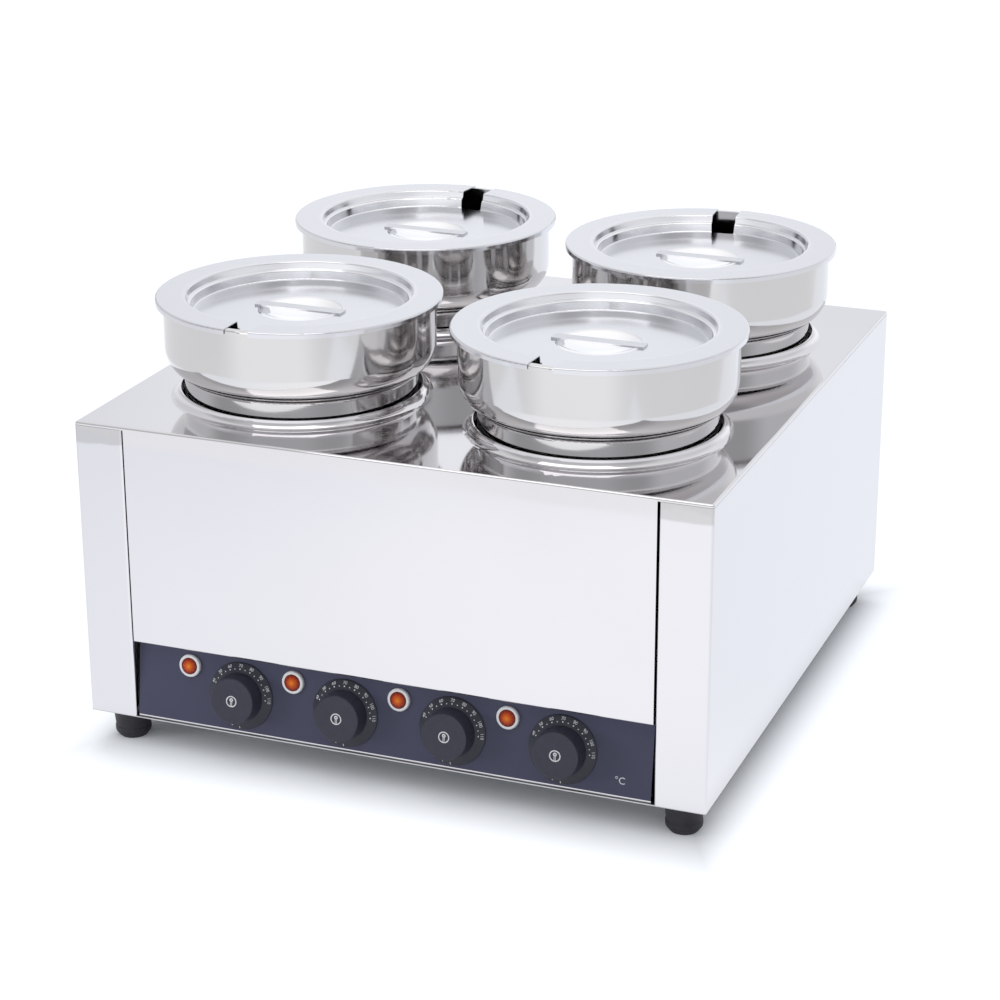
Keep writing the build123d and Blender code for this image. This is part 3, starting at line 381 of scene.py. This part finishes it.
turns = {joint["child"]: joint for joint in frame["joints"] if joint["type"] == "hinge"}
knob_seats = {place: np.array(turns[f"knob_{place}"]["pos_m"]) for place in PLACES}
PANEL_OUT = -np.array(turns["knob_front_left"]["axis"])
PANEL_RIGHT = np.array((1.0, 0.0, 0.0))
PANEL_AXES = np.stack([PANEL_RIGHT, np.cross(PANEL_OUT, PANEL_RIGHT), PANEL_OUT])
FILM_THICKNESS = 0.0005
INK = 0.00006
INK_GAP = 0.00002
UNIT_HEIGHT = 0.0062
UNIT_FROM_KNOB = (0.0520, -0.0195)
CAPITAL_SHARE = 0.7


def letters(words, height):
    """Letters as thin plates about the origin: a text curve made a mesh, read as points and triangles."""
    text = bpy.data.curves.new("letters", "FONT")
    text.body = words
    text.align_x = "CENTER"
    text.align_y = "CENTER"
    text.size = height / CAPITAL_SHARE
    text.extrude = INK / 2
    text.resolution_u = 4
    holder = bpy.data.objects.new("letters", text)
    mesh = bpy.data.meshes.new_from_object(holder)
    mesh.calc_loop_triangles()
    points = np.empty(len(mesh.vertices) * 3)
    triangles = np.empty(len(mesh.loop_triangles) * 3, dtype=int)
    mesh.vertices.foreach_get("co", points)
    mesh.loop_triangles.foreach_get("vertices", triangles)
    bpy.data.objects.remove(holder)
    bpy.data.meshes.remove(mesh)
    return points.reshape(-1, 3), triangles.reshape(-1, 3)


def joined(shapes):
    """Several shapes of points and faces as one list of each, the corner numbers counted on."""
    first = np.cumsum([0] + [len(points) for points, _ in shapes])
    faces = [list(face) for start, (_, corners) in zip(first, shapes) for face in corners + start]
    return np.concatenate([points for points, _ in shapes]), faces


def on_panel(points, seat):
    """Points across, up and out from a seat on the panel's steel face, in the object's frame."""
    return seat + points @ PANEL_AXES


white_ink = finish("white_ink", (0.80, 0.80, 0.82), 0.5)
tint(white_ink, grain(white_ink, 900.0, detail=3.0), (0.3, (0.70, 0.70, 0.72)), (0.6, (0.84, 0.84, 0.86)))
sign, sign_faces = letters("°C", UNIT_HEIGHT)
sign += (*UNIT_FROM_KNOB, FILM_THICKNESS + INK_GAP + INK / 2)
sign = on_panel(sign, knob_seats["front_right"])
piece("unit_sign", sign, sign_faces, white_ink, "casing")


# Pilot lamps
# White moulded bezels snapped into the panel, each round an amber lens with a domed, petalled face.
# The lens's colour is painted deep red at its rim and bright orange in the middle, a painted glow of the neon
# behind it, with painted shade in the grooves between its petals.
bezel_white = finish("lamp_bezel", (0.85, 0.84, 0.85), 0.32)
tint(bezel_white, grain(bezel_white, 60.0, detail=4.0), (0.3, (0.83, 0.82, 0.83)), (0.7, (0.87, 0.86, 0.87)))
relief(bezel_white, grain(bezel_white, 2000.0), 0.00001)
dress(bezel_white, "lamp_bezels")

LAMP_FROM_KNOB = np.array((-0.0503, 0.0202, 0.0))
LENS_RADIUS, LENS_SEAT, LENS_EDGE, LENS_DOME = 0.0076, 0.0015, 0.0035, 0.0014
LENS_PETALS, PETAL_DEPTH, PETAL_SHADE = 10, 0.0004, 0.22
LENS_RINGS, LENS_STEPS = 22, 80
lens_reach = np.linspace(1.0, 0.0, LENS_RINGS)
lens_radii = [0.0, LENS_RADIUS, *(LENS_RADIUS * lens_reach)]
dome = LENS_EDGE + LENS_DOME * (1 - lens_reach**2)
lens = lathe(lens_radii, [LENS_SEAT, LENS_SEAT, *dome], LENS_STEPS)


def petals(across, up):
    """How far a point lies in the groove between two petals: 0 on a ridge, 1 in the deepest line."""
    return np.abs(np.sin(LENS_PETALS / 2 * np.arctan2(up, across)))


petal = petals(lens[2:, :, 0], lens[2:, :, 1])
lens[2:, :, 2] -= PETAL_DEPTH * petal * (lens_reach * (1 - lens_reach**6))[:, None]
lamp_seats = [on_panel(LAMP_FROM_KNOB, seat) for seat in knob_seats.values()]
points, faces = copies(lens, strips(*lens.shape[:2]), lamp_seats, [PANEL_AXES] * len(lamp_seats))
amber = finish("amber_lens", (0.5, 0.1, 0.006), 0.22, gloss=0.25)
lenses = piece("petalled_lenses", points, faces, amber, "casing")
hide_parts("lamp_lenses")
co = np.empty(len(lenses.data.vertices) * 3)
lenses.data.vertices.foreach_get("co", co)
away = co.reshape(-1, 1, 3) - np.stack(lamp_seats)
away -= (away @ PANEL_OUT)[..., None] * PANEL_OUT
nearest = np.linalg.norm(away, axis=-1).argmin(axis=1)
away = away[np.arange(len(away)), nearest] @ PANEL_AXES.T
painted_glow_reach = np.hypot(away[:, 0], away[:, 1]) / LENS_RADIUS
# Painted shade: the grooves between the petals are shifted towards the darker colours of the rim.
groove = petals(away[:, 0], away[:, 1])
painted_glow_reach += PETAL_SHADE * groove * painted_glow_reach * (1 - painted_glow_reach**4)
lenses.data.attributes.new("painted_glow_reach", "FLOAT", "POINT").data.foreach_set("value", painted_glow_reach)
reach = amber.node_tree.nodes.new("ShaderNodeAttribute")
reach.attribute_name = "painted_glow_reach"
# Painted glow: the lens is no lamp, so its bright orange middle is painted into its colour.
RED_RIM, ORANGE_RED = (0.14, 0.007, 0.002), (0.46, 0.040, 0.003)
ORANGE, NEON_PAINTED_GLOW = (0.74, 0.14, 0.004), (0.86, 0.27, 0.012)
tint(amber, reach.outputs["Fac"], (0.0, NEON_PAINTED_GLOW), (0.32, ORANGE), (0.72, ORANGE_RED), (0.97, RED_RIM))


# Dial rings
# Moulded black rings fixed to the panel round the knobs; their sloping faces carry a printed scale:
# a number at each ten degrees, a dot under it, a smaller dot between, and the off mark at the bottom.
dial_black = finish("dial_plastic", (0.026, 0.027, 0.040), 0.4, gloss=0.4)
cloud = grain(dial_black, 150.0, detail=4.0)
tint(dial_black, cloud, (0.3, (0.023, 0.024, 0.036)), (0.7, (0.029, 0.030, 0.044)))
roughen(dial_black, ranged(dial_black, grain(dial_black, 400.0, detail=3.0), 0.34, 0.46))
relief(dial_black, grain(dial_black, 2400.0), 0.00003)
dress(dial_black, "dial_rings")

CONE_FOOT_RADIUS, CONE_TOP_RADIUS, CONE_FOOT, CONE_TOP = 0.0307, 0.0228, 0.0015, 0.0056
CONE_FALL = (CONE_TOP - CONE_FOOT) / (CONE_FOOT_RADIUS - CONE_TOP_RADIUS)
CONE_SLOPE = math.atan(CONE_FALL)
FIRST_TEN, TENS, FIRST_TURN, TURN_PER_TEN = 40, 8, 157.5, -22.5
NUMBER_RADIUS, NUMBER_HEIGHT, DOT_CIRCLE, TEN_DOT, FIVE_DOT = 0.0280, 0.0028, 0.02525, 0.00062, 0.0005
OFF_TURN, OFF_RADIUS, OFF_LENGTH, OFF_WIDTH = -90.0, 0.0288, 0.0025, 0.0007
LOW_TURN, LOW_RADIUS = -104.7, 0.0286


def on_cone(flat, turn, radius):
    """Carries a flat print to the ring's cone: its width goes round the axis, its height down the slope,
    with its top outwards, and its thickness stands off the cone."""
    reach = radius + flat[:, 1] * math.cos(CONE_SLOPE)
    angle = math.radians(turn) - flat[:, 0] / radius
    level = CONE_FOOT + (CONE_FOOT_RADIUS - reach) * CONE_FALL + INK_GAP + INK / 2 + flat[:, 2]
    return np.stack([reach * np.cos(angle), reach * np.sin(angle), level], axis=-1)


def disc(radius, steps=14):
    """A thin round plate about the origin, as thick as the ink."""
    plate = lathe([0.0, radius, radius, 0.0], [-INK / 2, -INK / 2, INK / 2, INK / 2], steps)
    return plate.reshape(-1, 3), strips(4, steps)


def dash(width, length):
    """A thin bar about the origin, as thick as the ink, its length up the page."""
    grid = np.stack(np.meshgrid([-1, 1], [-1, 1], [-1, 1], indexing="ij"), axis=-1).reshape(-1, 3) / 2
    sides = [(0, 1, 3, 2), (4, 6, 7, 5), (0, 4, 5, 1), (2, 3, 7, 6), (0, 2, 6, 4), (1, 5, 7, 3)]
    return grid * (width, length, INK), np.array(sides)


scale = [(dash(OFF_WIDTH, OFF_LENGTH), OFF_TURN, OFF_RADIUS), (disc(FIVE_DOT), LOW_TURN, LOW_RADIUS)]
for ten in range(TENS):
    turn = FIRST_TURN + ten * TURN_PER_TEN
    scale.append((letters(str(FIRST_TEN + 10 * ten), NUMBER_HEIGHT), turn, NUMBER_RADIUS))
    scale.append((disc(TEN_DOT), turn, DOT_CIRCLE))
    if ten:
        scale.append((disc(FIVE_DOT), turn - TURN_PER_TEN / 2, DOT_CIRCLE))
points, faces = joined([(on_cone(flat, turn, radius), corners) for (flat, corners), turn, radius in scale])
for place, seat in knob_seats.items():
    piece(f"dial_scale_{place}", on_panel(points, seat), faces, white_ink, "casing")


# Knobs
# Charcoal caps pressed on the thermostat spindles, with a fine moulded texture.
# Each has a plain heat sign printed in the middle of its face: a ring, and in it a bulb on a two-line stem.
charcoal = finish("knob_plastic", (0.034, 0.034, 0.054), 0.44, gloss=0.4)
tint(charcoal, grain(charcoal, 150.0, detail=4.0), (0.3, (0.031, 0.031, 0.050)), (0.7, (0.037, 0.037, 0.058)))
roughen(charcoal, ranged(charcoal, grain(charcoal, 500.0, detail=3.0), 0.38, 0.5))
relief(charcoal, grain(charcoal, 2400.0), 0.00004)
dress(charcoal, *[f"knob_{place}" for place in PLACES])

SIGN_RADIUS, SIGN_LINE = 0.0051, 0.0010
BULB_HEIGHT, BULB_RADIUS, BULB_HOLE = 0.0014, 0.0017, 0.0006
STEM_GAP, STEM_LINE, STEM_TOP, STEM_FOOT = 0.00058, 0.00055, 0.0002, -0.0043


def washer(outer, inner, steps):
    """A thin flat ring about the origin, as thick as the ink."""
    plate = lathe([inner, outer, outer, inner], [-INK / 2, -INK / 2, INK / 2, INK / 2], steps)
    return plate.reshape(-1, 3), strips(4, steps, closed=True)


stem, stem_faces = dash(STEM_LINE, STEM_TOP - STEM_FOOT)
stem_middle = (STEM_TOP + STEM_FOOT) / 2
bulb, bulb_faces = washer(BULB_RADIUS, BULB_HOLE, 32)
heat_sign = [washer(SIGN_RADIUS, SIGN_RADIUS - SIGN_LINE, 64), (bulb + (0.0, BULB_HEIGHT, 0.0), bulb_faces)]
heat_sign += [(stem + (side * STEM_GAP, stem_middle, 0.0), stem_faces) for side in (-1, 1)]
points, faces = joined(heat_sign)
for place, seat in knob_seats.items():
    cap = frame["nodes"][f"knob_{place}"].data.vertices
    co = np.empty(len(cap) * 3)
    cap.foreach_get("co", co)
    cap_face = ((co.reshape(-1, 3) - seat) @ PANEL_OUT).max()
    lifted = points + (0.0, 0.0, cap_face + INK_GAP + INK / 2)
    piece(f"heat_sign_{place}", on_panel(lifted, seat), faces, white_ink, f"knob_{place}")


# Pots
# Spun stainless pots that stand in the wells, with a turned-down rim round the mouth.
# They are mirror-polished outside, with faint level lines from the spinning.
pot_steel = finish("pot_steel", (0.675, 0.663, 0.66), 0.05, 1.0)
spun = grain(pot_steel, 1.0, (4.0, 4.0, 900.0), 4.0)
clouded = grain(pot_steel, 12.0, detail=5.0)
tint(pot_steel, clouded, (0.3, (0.665, 0.653, 0.65)), (0.7, (0.685, 0.673, 0.67)))
roughen(pot_steel, ranged(pot_steel, spun, 0.07, 0.12))
relief(pot_steel, spun, 0.000002)
relief(pot_steel, grain(pot_steel, 14.0), 0.00006)
dress(pot_steel, *[f"pot_{place}" for place in PLACES])


# Lids
# Pressed stainless lids with a satin face of fine rings about their middle, and a flat bar welded across the
# finger dish. The dish and the drawn walls of the recess are painted a paler steel than the flat faces, a
# painted sheen, and the skirt is smoother than the flat faces.
LID_ZONES = ((0.0365, 0.08), (0.0395, 0.15), (0.0930, 0.15), (0.0955, 0.12), (0.1000, 0.12), (0.1025, 0.25),
             (0.1255, 0.25), (0.1272, 0.05))
DISH_PAINTED_SHEEN, FACE_STEEL, DRAWN_PAINTED_SHEEN = (0.97, 0.97, 0.98), (0.715, 0.715, 0.745), (0.86, 0.86, 0.88)
LID_PAINTED_TONES = ((0.0368, DISH_PAINTED_SHEEN), (0.0382, FACE_STEEL), (0.0930, FACE_STEEL), (0.0942, DRAWN_PAINTED_SHEEN),
             (0.1005, DRAWN_PAINTED_SHEEN), (0.1020, FACE_STEEL))
for place in PLACES:
    low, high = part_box(f"lid_{place}")
    middle = ((low.x + high.x) / 2, (low.y + high.y) / 2, 0.0)
    lid_steel = finish(f"lid_steel_{place}", FACE_STEEL, 0.28, 1.0)
    tree = lid_steel.node_tree
    reach = tree.nodes.new("ShaderNodeVectorMath")
    reach.operation = "LENGTH"
    tree.links.new(placed(lid_steel, middle, (1.0, 1.0, 0.0)), reach.inputs[0])
    rings = tree.nodes.new("ShaderNodeTexNoise")
    rings.noise_dimensions = "1D"
    rings.inputs["Scale"].default_value = 1400.0
    rings.inputs["Detail"].default_value = 3.0
    tree.links.new(reach.outputs["Value"], rings.inputs["W"])
    # Painted sheen: the dish and the drawn walls of the recess take a paler steel colour than the flat faces.
    tint(lid_steel, reach.outputs["Value"], *LID_PAINTED_TONES)
    dullness = [(radius, (rough,) * 3) for radius, rough in LID_ZONES]
    roughen(lid_steel, ramped(lid_steel, reach.outputs["Value"], *dullness))
    relief(lid_steel, rings.outputs["Fac"], 0.000001)
    dress(lid_steel, f"lid_{place}")
bar_steel = finish("bar_steel", (0.67, 0.67, 0.70), 0.26, 1.0)
roughen(bar_steel, ranged(bar_steel, grain(bar_steel, 20.0, (6.0, 60.0, 60.0), 4.0), 0.2, 0.32))
dress(bar_steel, *[f"lid_handle_{place}" for place in PLACES])


# Studio
# A sheet of white paper under the object that ends a metre in front of it, a soft panel overhead in front,
# a lamp behind to the left, a low one in front to the left, and the pale room that polished steel shows.
PAPER_LEFT, PAPER_RIGHT, PAPER_FRONT, PAPER_REAR = -0.95, 1.05, -1.01, 5.0
paper_mesh = bpy.data.meshes.new("paper")
paper_corners = [(PAPER_LEFT, PAPER_FRONT, 0.0), (PAPER_RIGHT, PAPER_FRONT, 0.0)]
paper_corners += [(PAPER_RIGHT, PAPER_REAR, 0.0), (PAPER_LEFT, PAPER_REAR, 0.0)]
paper_mesh.from_pydata(paper_corners, [], [(0, 1, 2, 3)])
paper = bpy.data.objects.new("paper", paper_mesh)
bpy.context.scene.collection.objects.link(paper)
paper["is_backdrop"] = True


def shown(tree):
    """One for rays that show what they hit: from the camera, off a glossy face or through a clear one."""
    path = tree.nodes.new("ShaderNodeLightPath")
    camera_or_gloss = tree.nodes.new("ShaderNodeMath")
    camera_or_gloss.operation = "MAXIMUM"
    tree.links.new(path.outputs["Is Camera Ray"], camera_or_gloss.inputs[0])
    tree.links.new(path.outputs["Is Glossy Ray"], camera_or_gloss.inputs[1])
    any_of = tree.nodes.new("ShaderNodeMath")
    any_of.operation = "MAXIMUM"
    tree.links.new(camera_or_gloss.outputs[0], any_of.inputs[0])
    tree.links.new(path.outputs["Is Transmission Ray"], any_of.inputs[1])
    return any_of.outputs[0], path.outputs["Is Camera Ray"]


PAPER_COLOR = (0.86, 0.87, 0.89)
CASING_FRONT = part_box("top_shell")[0].y
PAPER_WHITE, PAPER_FAR, PAPER_GLOW, FADED_GLOW = (0.952, 0.968, 1.0), (0.905, 0.94, 1.0), 1.27, 1.13
GLOW_CENTRE, GLOW_START, GLOW_END = (0.1, -0.75, 0.0), 0.15, 0.85
SHADE_START, SHADE_END, FRONT_SHARE, FRONT_SHADE = -0.030, 0.035, 0.5, 0.012
paper_white = bpy.data.materials.new("paper_white")
paper_white.use_nodes = True
tree = paper_white.node_tree
tree.nodes.remove(tree.nodes["Principled BSDF"])
lit = tree.nodes.new("ShaderNodeBsdfDiffuse")
lit.inputs["Color"].default_value = (*PAPER_COLOR, 1.0)
glow = tree.nodes.new("ShaderNodeEmission")
away = tree.nodes.new("ShaderNodeVectorMath")
away.operation = "LENGTH"
tree.links.new(placed(paper_white, GLOW_CENTRE), away.inputs[0])
# Painted pool of light: the paper's glow, seen from the camera and in steel, is strongest round a point in
# front of the object and fades and cools further off.
faded = ranged(paper_white, away.outputs["Value"], PAPER_GLOW, FADED_GLOW, GLOW_START, GLOW_END)
cooler = ramped(paper_white, away.outputs["Value"], (GLOW_START, PAPER_WHITE), (GLOW_END, PAPER_FAR))
tree.links.new(cooler, glow.inputs["Color"])
spot = tree.nodes.new("ShaderNodeSeparateXYZ")
tree.links.new(placed(paper_white), spot.inputs[0])
tree.links.new(faded, glow.inputs["Strength"])
beside = worked(tree, "SUBTRACT", worked(tree, "ABSOLUTE", spot.outputs["X"]), cad_high.x)
to_rear = worked(tree, "SUBTRACT", spot.outputs["Y"], cad_high.y)
to_front = worked(tree, "SUBTRACT", CASING_FRONT - FRONT_SHADE, spot.outputs["Y"])
to_front = worked(tree, "MULTIPLY", to_front, FRONT_SHARE)
outside = worked(tree, "MAXIMUM", worked(tree, "MAXIMUM", beside, to_rear), to_front)
open_floor = ranged(paper_white, outside, 0.0, 1.0, SHADE_START, SHADE_END)
mixed = tree.nodes.new("ShaderNodeMixShader")
tree.links.new(worked(tree, "MULTIPLY", open_floor, shown(tree)[0]), mixed.inputs[0])
tree.links.new(lit.outputs[0], mixed.inputs[1])
tree.links.new(glow.outputs[0], mixed.inputs[2])
tree.links.new(mixed.outputs[0], tree.nodes["Material Output"].inputs["Surface"])
paper_mesh.materials.append(paper_white)

AMBIENT, AMBIENT_COLOR = 0.45, (0.94, 0.97, 1.0)
ROOM_LEVEL, ROOM_SIDES, SIDE_START, SIDE_END = 1.16, 0.81, 0.35, 0.75
ROOM_FLOOR, ROOM_LOW, ROOM_WALL = (0.96, 0.975, 1.0), (0.96, 0.975, 1.0), (0.82, 0.84, 0.87)
ROOM_HIGH, ROOM_TOP = (0.88, 0.88, 0.89), (0.90, 0.90, 0.90)
BRIGHT_BACK, BRIGHT_SHARE, BRIGHT_START, BRIGHT_END = (-0.36, 0.87, 0.335), 1.09, 0.988, 0.9985
FRONT_WALL, FRONT_FULL, FRONT_EDGE, DIM_START, DIM_END = 0.65, -0.5, -0.05, 0.14, 0.30
world = bpy.data.worlds.new("studio_room")
bpy.context.scene.world = world
world.use_nodes = True
tree = world.node_tree
ambient = tree.nodes["Background"]
ambient.inputs["Color"].default_value = (*AMBIENT_COLOR, 1.0)
ambient.inputs["Strength"].default_value = AMBIENT
room = tree.nodes.new("ShaderNodeBackground")
direction = tree.nodes.new("ShaderNodeTexCoord")
compass = tree.nodes.new("ShaderNodeSeparateXYZ")
tree.links.new(direction.outputs["Generated"], compass.inputs[0])
height = tree.nodes.new("ShaderNodeMapRange")
height.inputs["From Min"].default_value = -1.0
tree.links.new(compass.outputs["Z"], height.inputs["Value"])
room_bands = ((0.49, ROOM_FLOOR), (0.57, ROOM_LOW), (0.63, ROOM_WALL), (0.72, ROOM_WALL), (0.82, ROOM_HIGH),
              (0.94, ROOM_HIGH), (0.97, ROOM_TOP))
tree.links.new(ramped(world, height.outputs["Result"], *room_bands), room.inputs["Color"])
aside = worked(tree, "ABSOLUTE", compass.outputs["X"])
sideways = ranged(world, aside, 1.0, ROOM_SIDES, SIDE_START, SIDE_END)
toward = tree.nodes.new("ShaderNodeVectorMath")
toward.operation = "DOT_PRODUCT"
toward.inputs[1].default_value = Vector(BRIGHT_BACK).normalized()
tree.links.new(direction.outputs["Generated"], toward.inputs[0])
bright_level = ROOM_LEVEL * BRIGHT_SHARE
backdrop = ranged(world, toward.outputs["Value"], ROOM_LEVEL, bright_level, BRIGHT_START, BRIGHT_END)
facing = ranged(world, compass.outputs["Y"], 1.0 - FRONT_WALL, 0.0, FRONT_FULL, FRONT_EDGE)
raised = ranged(world, compass.outputs["Z"], 0.0, 1.0, DIM_START, DIM_END)
dimmed = worked(tree, "SUBTRACT", 1.0, worked(tree, "MULTIPLY", facing, raised))
level = worked(tree, "MULTIPLY", sideways, backdrop)
tree.links.new(worked(tree, "MULTIPLY", level, dimmed), room.inputs["Strength"])
BACKDROP_WHITE = 1.05
white = tree.nodes.new("ShaderNodeBackground")
white.inputs["Color"].default_value = (1.0, 1.0, 1.0, 1.0)
white.inputs["Strength"].default_value = BACKDROP_WHITE
seen, by_camera = shown(tree)
in_steel = tree.nodes.new("ShaderNodeMixShader")
tree.links.new(seen, in_steel.inputs[0])
tree.links.new(ambient.outputs[0], in_steel.inputs[1])
tree.links.new(room.outputs[0], in_steel.inputs[2])
behind = tree.nodes.new("ShaderNodeMixShader")
tree.links.new(by_camera, behind.inputs[0])
tree.links.new(in_steel.outputs[0], behind.inputs[1])
tree.links.new(white.outputs[0], behind.inputs[2])
tree.links.new(behind.outputs[0], tree.nodes["World Output"].inputs["Surface"])


def softbox(name, place, target, width, depth, power, in_steel):
    """An oblong lamp of soft light that faces a target; in_steel says whether polished steel shows it."""
    lamp = bpy.data.lights.new(name, "AREA")
    lamp.shape = "RECTANGLE"
    lamp.size = width
    lamp.size_y = depth
    lamp.energy = power
    holder = bpy.data.objects.new(name, lamp)
    holder.location = place
    holder.rotation_mode = "QUATERNION"
    holder.rotation_quaternion = (Vector(target) - Vector(place)).to_track_quat("-Z", "Y")
    holder.visible_glossy = in_steel
    bpy.context.scene.collection.objects.link(holder)


MIDDLE = (0.0, 0.0, 0.2)
softbox("overhead_panel", (0.0, -1.1, 2.2), MIDDLE, 2.0, 1.4, 9.0, True)
softbox("back_lamp", (-1.1, 1.0, 2.3), MIDDLE, 1.3, 1.3, 30.0, False)
softbox("left_lamp", (-1.8, -1.35, 0.3), MIDDLE, 0.6, 0.4, 13.0, False)


# Camera
# The photograph's own viewpoint: a long lens a little above the object, to the right of its front.
LENS = 96.51
VIEWPOINT = (0.8572295, -2.2076881, 1.0585114)
YAW, PITCH, ROLL = (math.radians(angle) for angle in (21.36478684, 20.57665118, -0.15734142))
forward = Vector((-math.sin(YAW) * math.cos(PITCH), math.cos(YAW) * math.cos(PITCH), -math.sin(PITCH)))
level_right = Vector((math.cos(YAW), math.sin(YAW), 0.0))
level_up = level_right.cross(forward)
right = math.cos(ROLL) * level_right + math.sin(ROLL) * level_up
up = -math.sin(ROLL) * level_right + math.cos(ROLL) * level_up
camera = bpy.data.objects.new("camera", bpy.data.cameras.new("camera"))
camera.data.sensor_width = 36.0
camera.data.lens = LENS
camera.matrix_world = Matrix.Translation(VIEWPOINT) @ Matrix((right, up, -forward)).transposed().to_4x4()
bpy.context.scene.collection.objects.link(camera)
bpy.context.scene.camera = camera
BOUNCES = 32
bpy.context.scene.cycles.max_bounces = BOUNCES
bpy.context.scene.cycles.glossy_bounces = BOUNCES
bpy.context.scene.view_settings.view_transform = "Standard"

low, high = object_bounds()
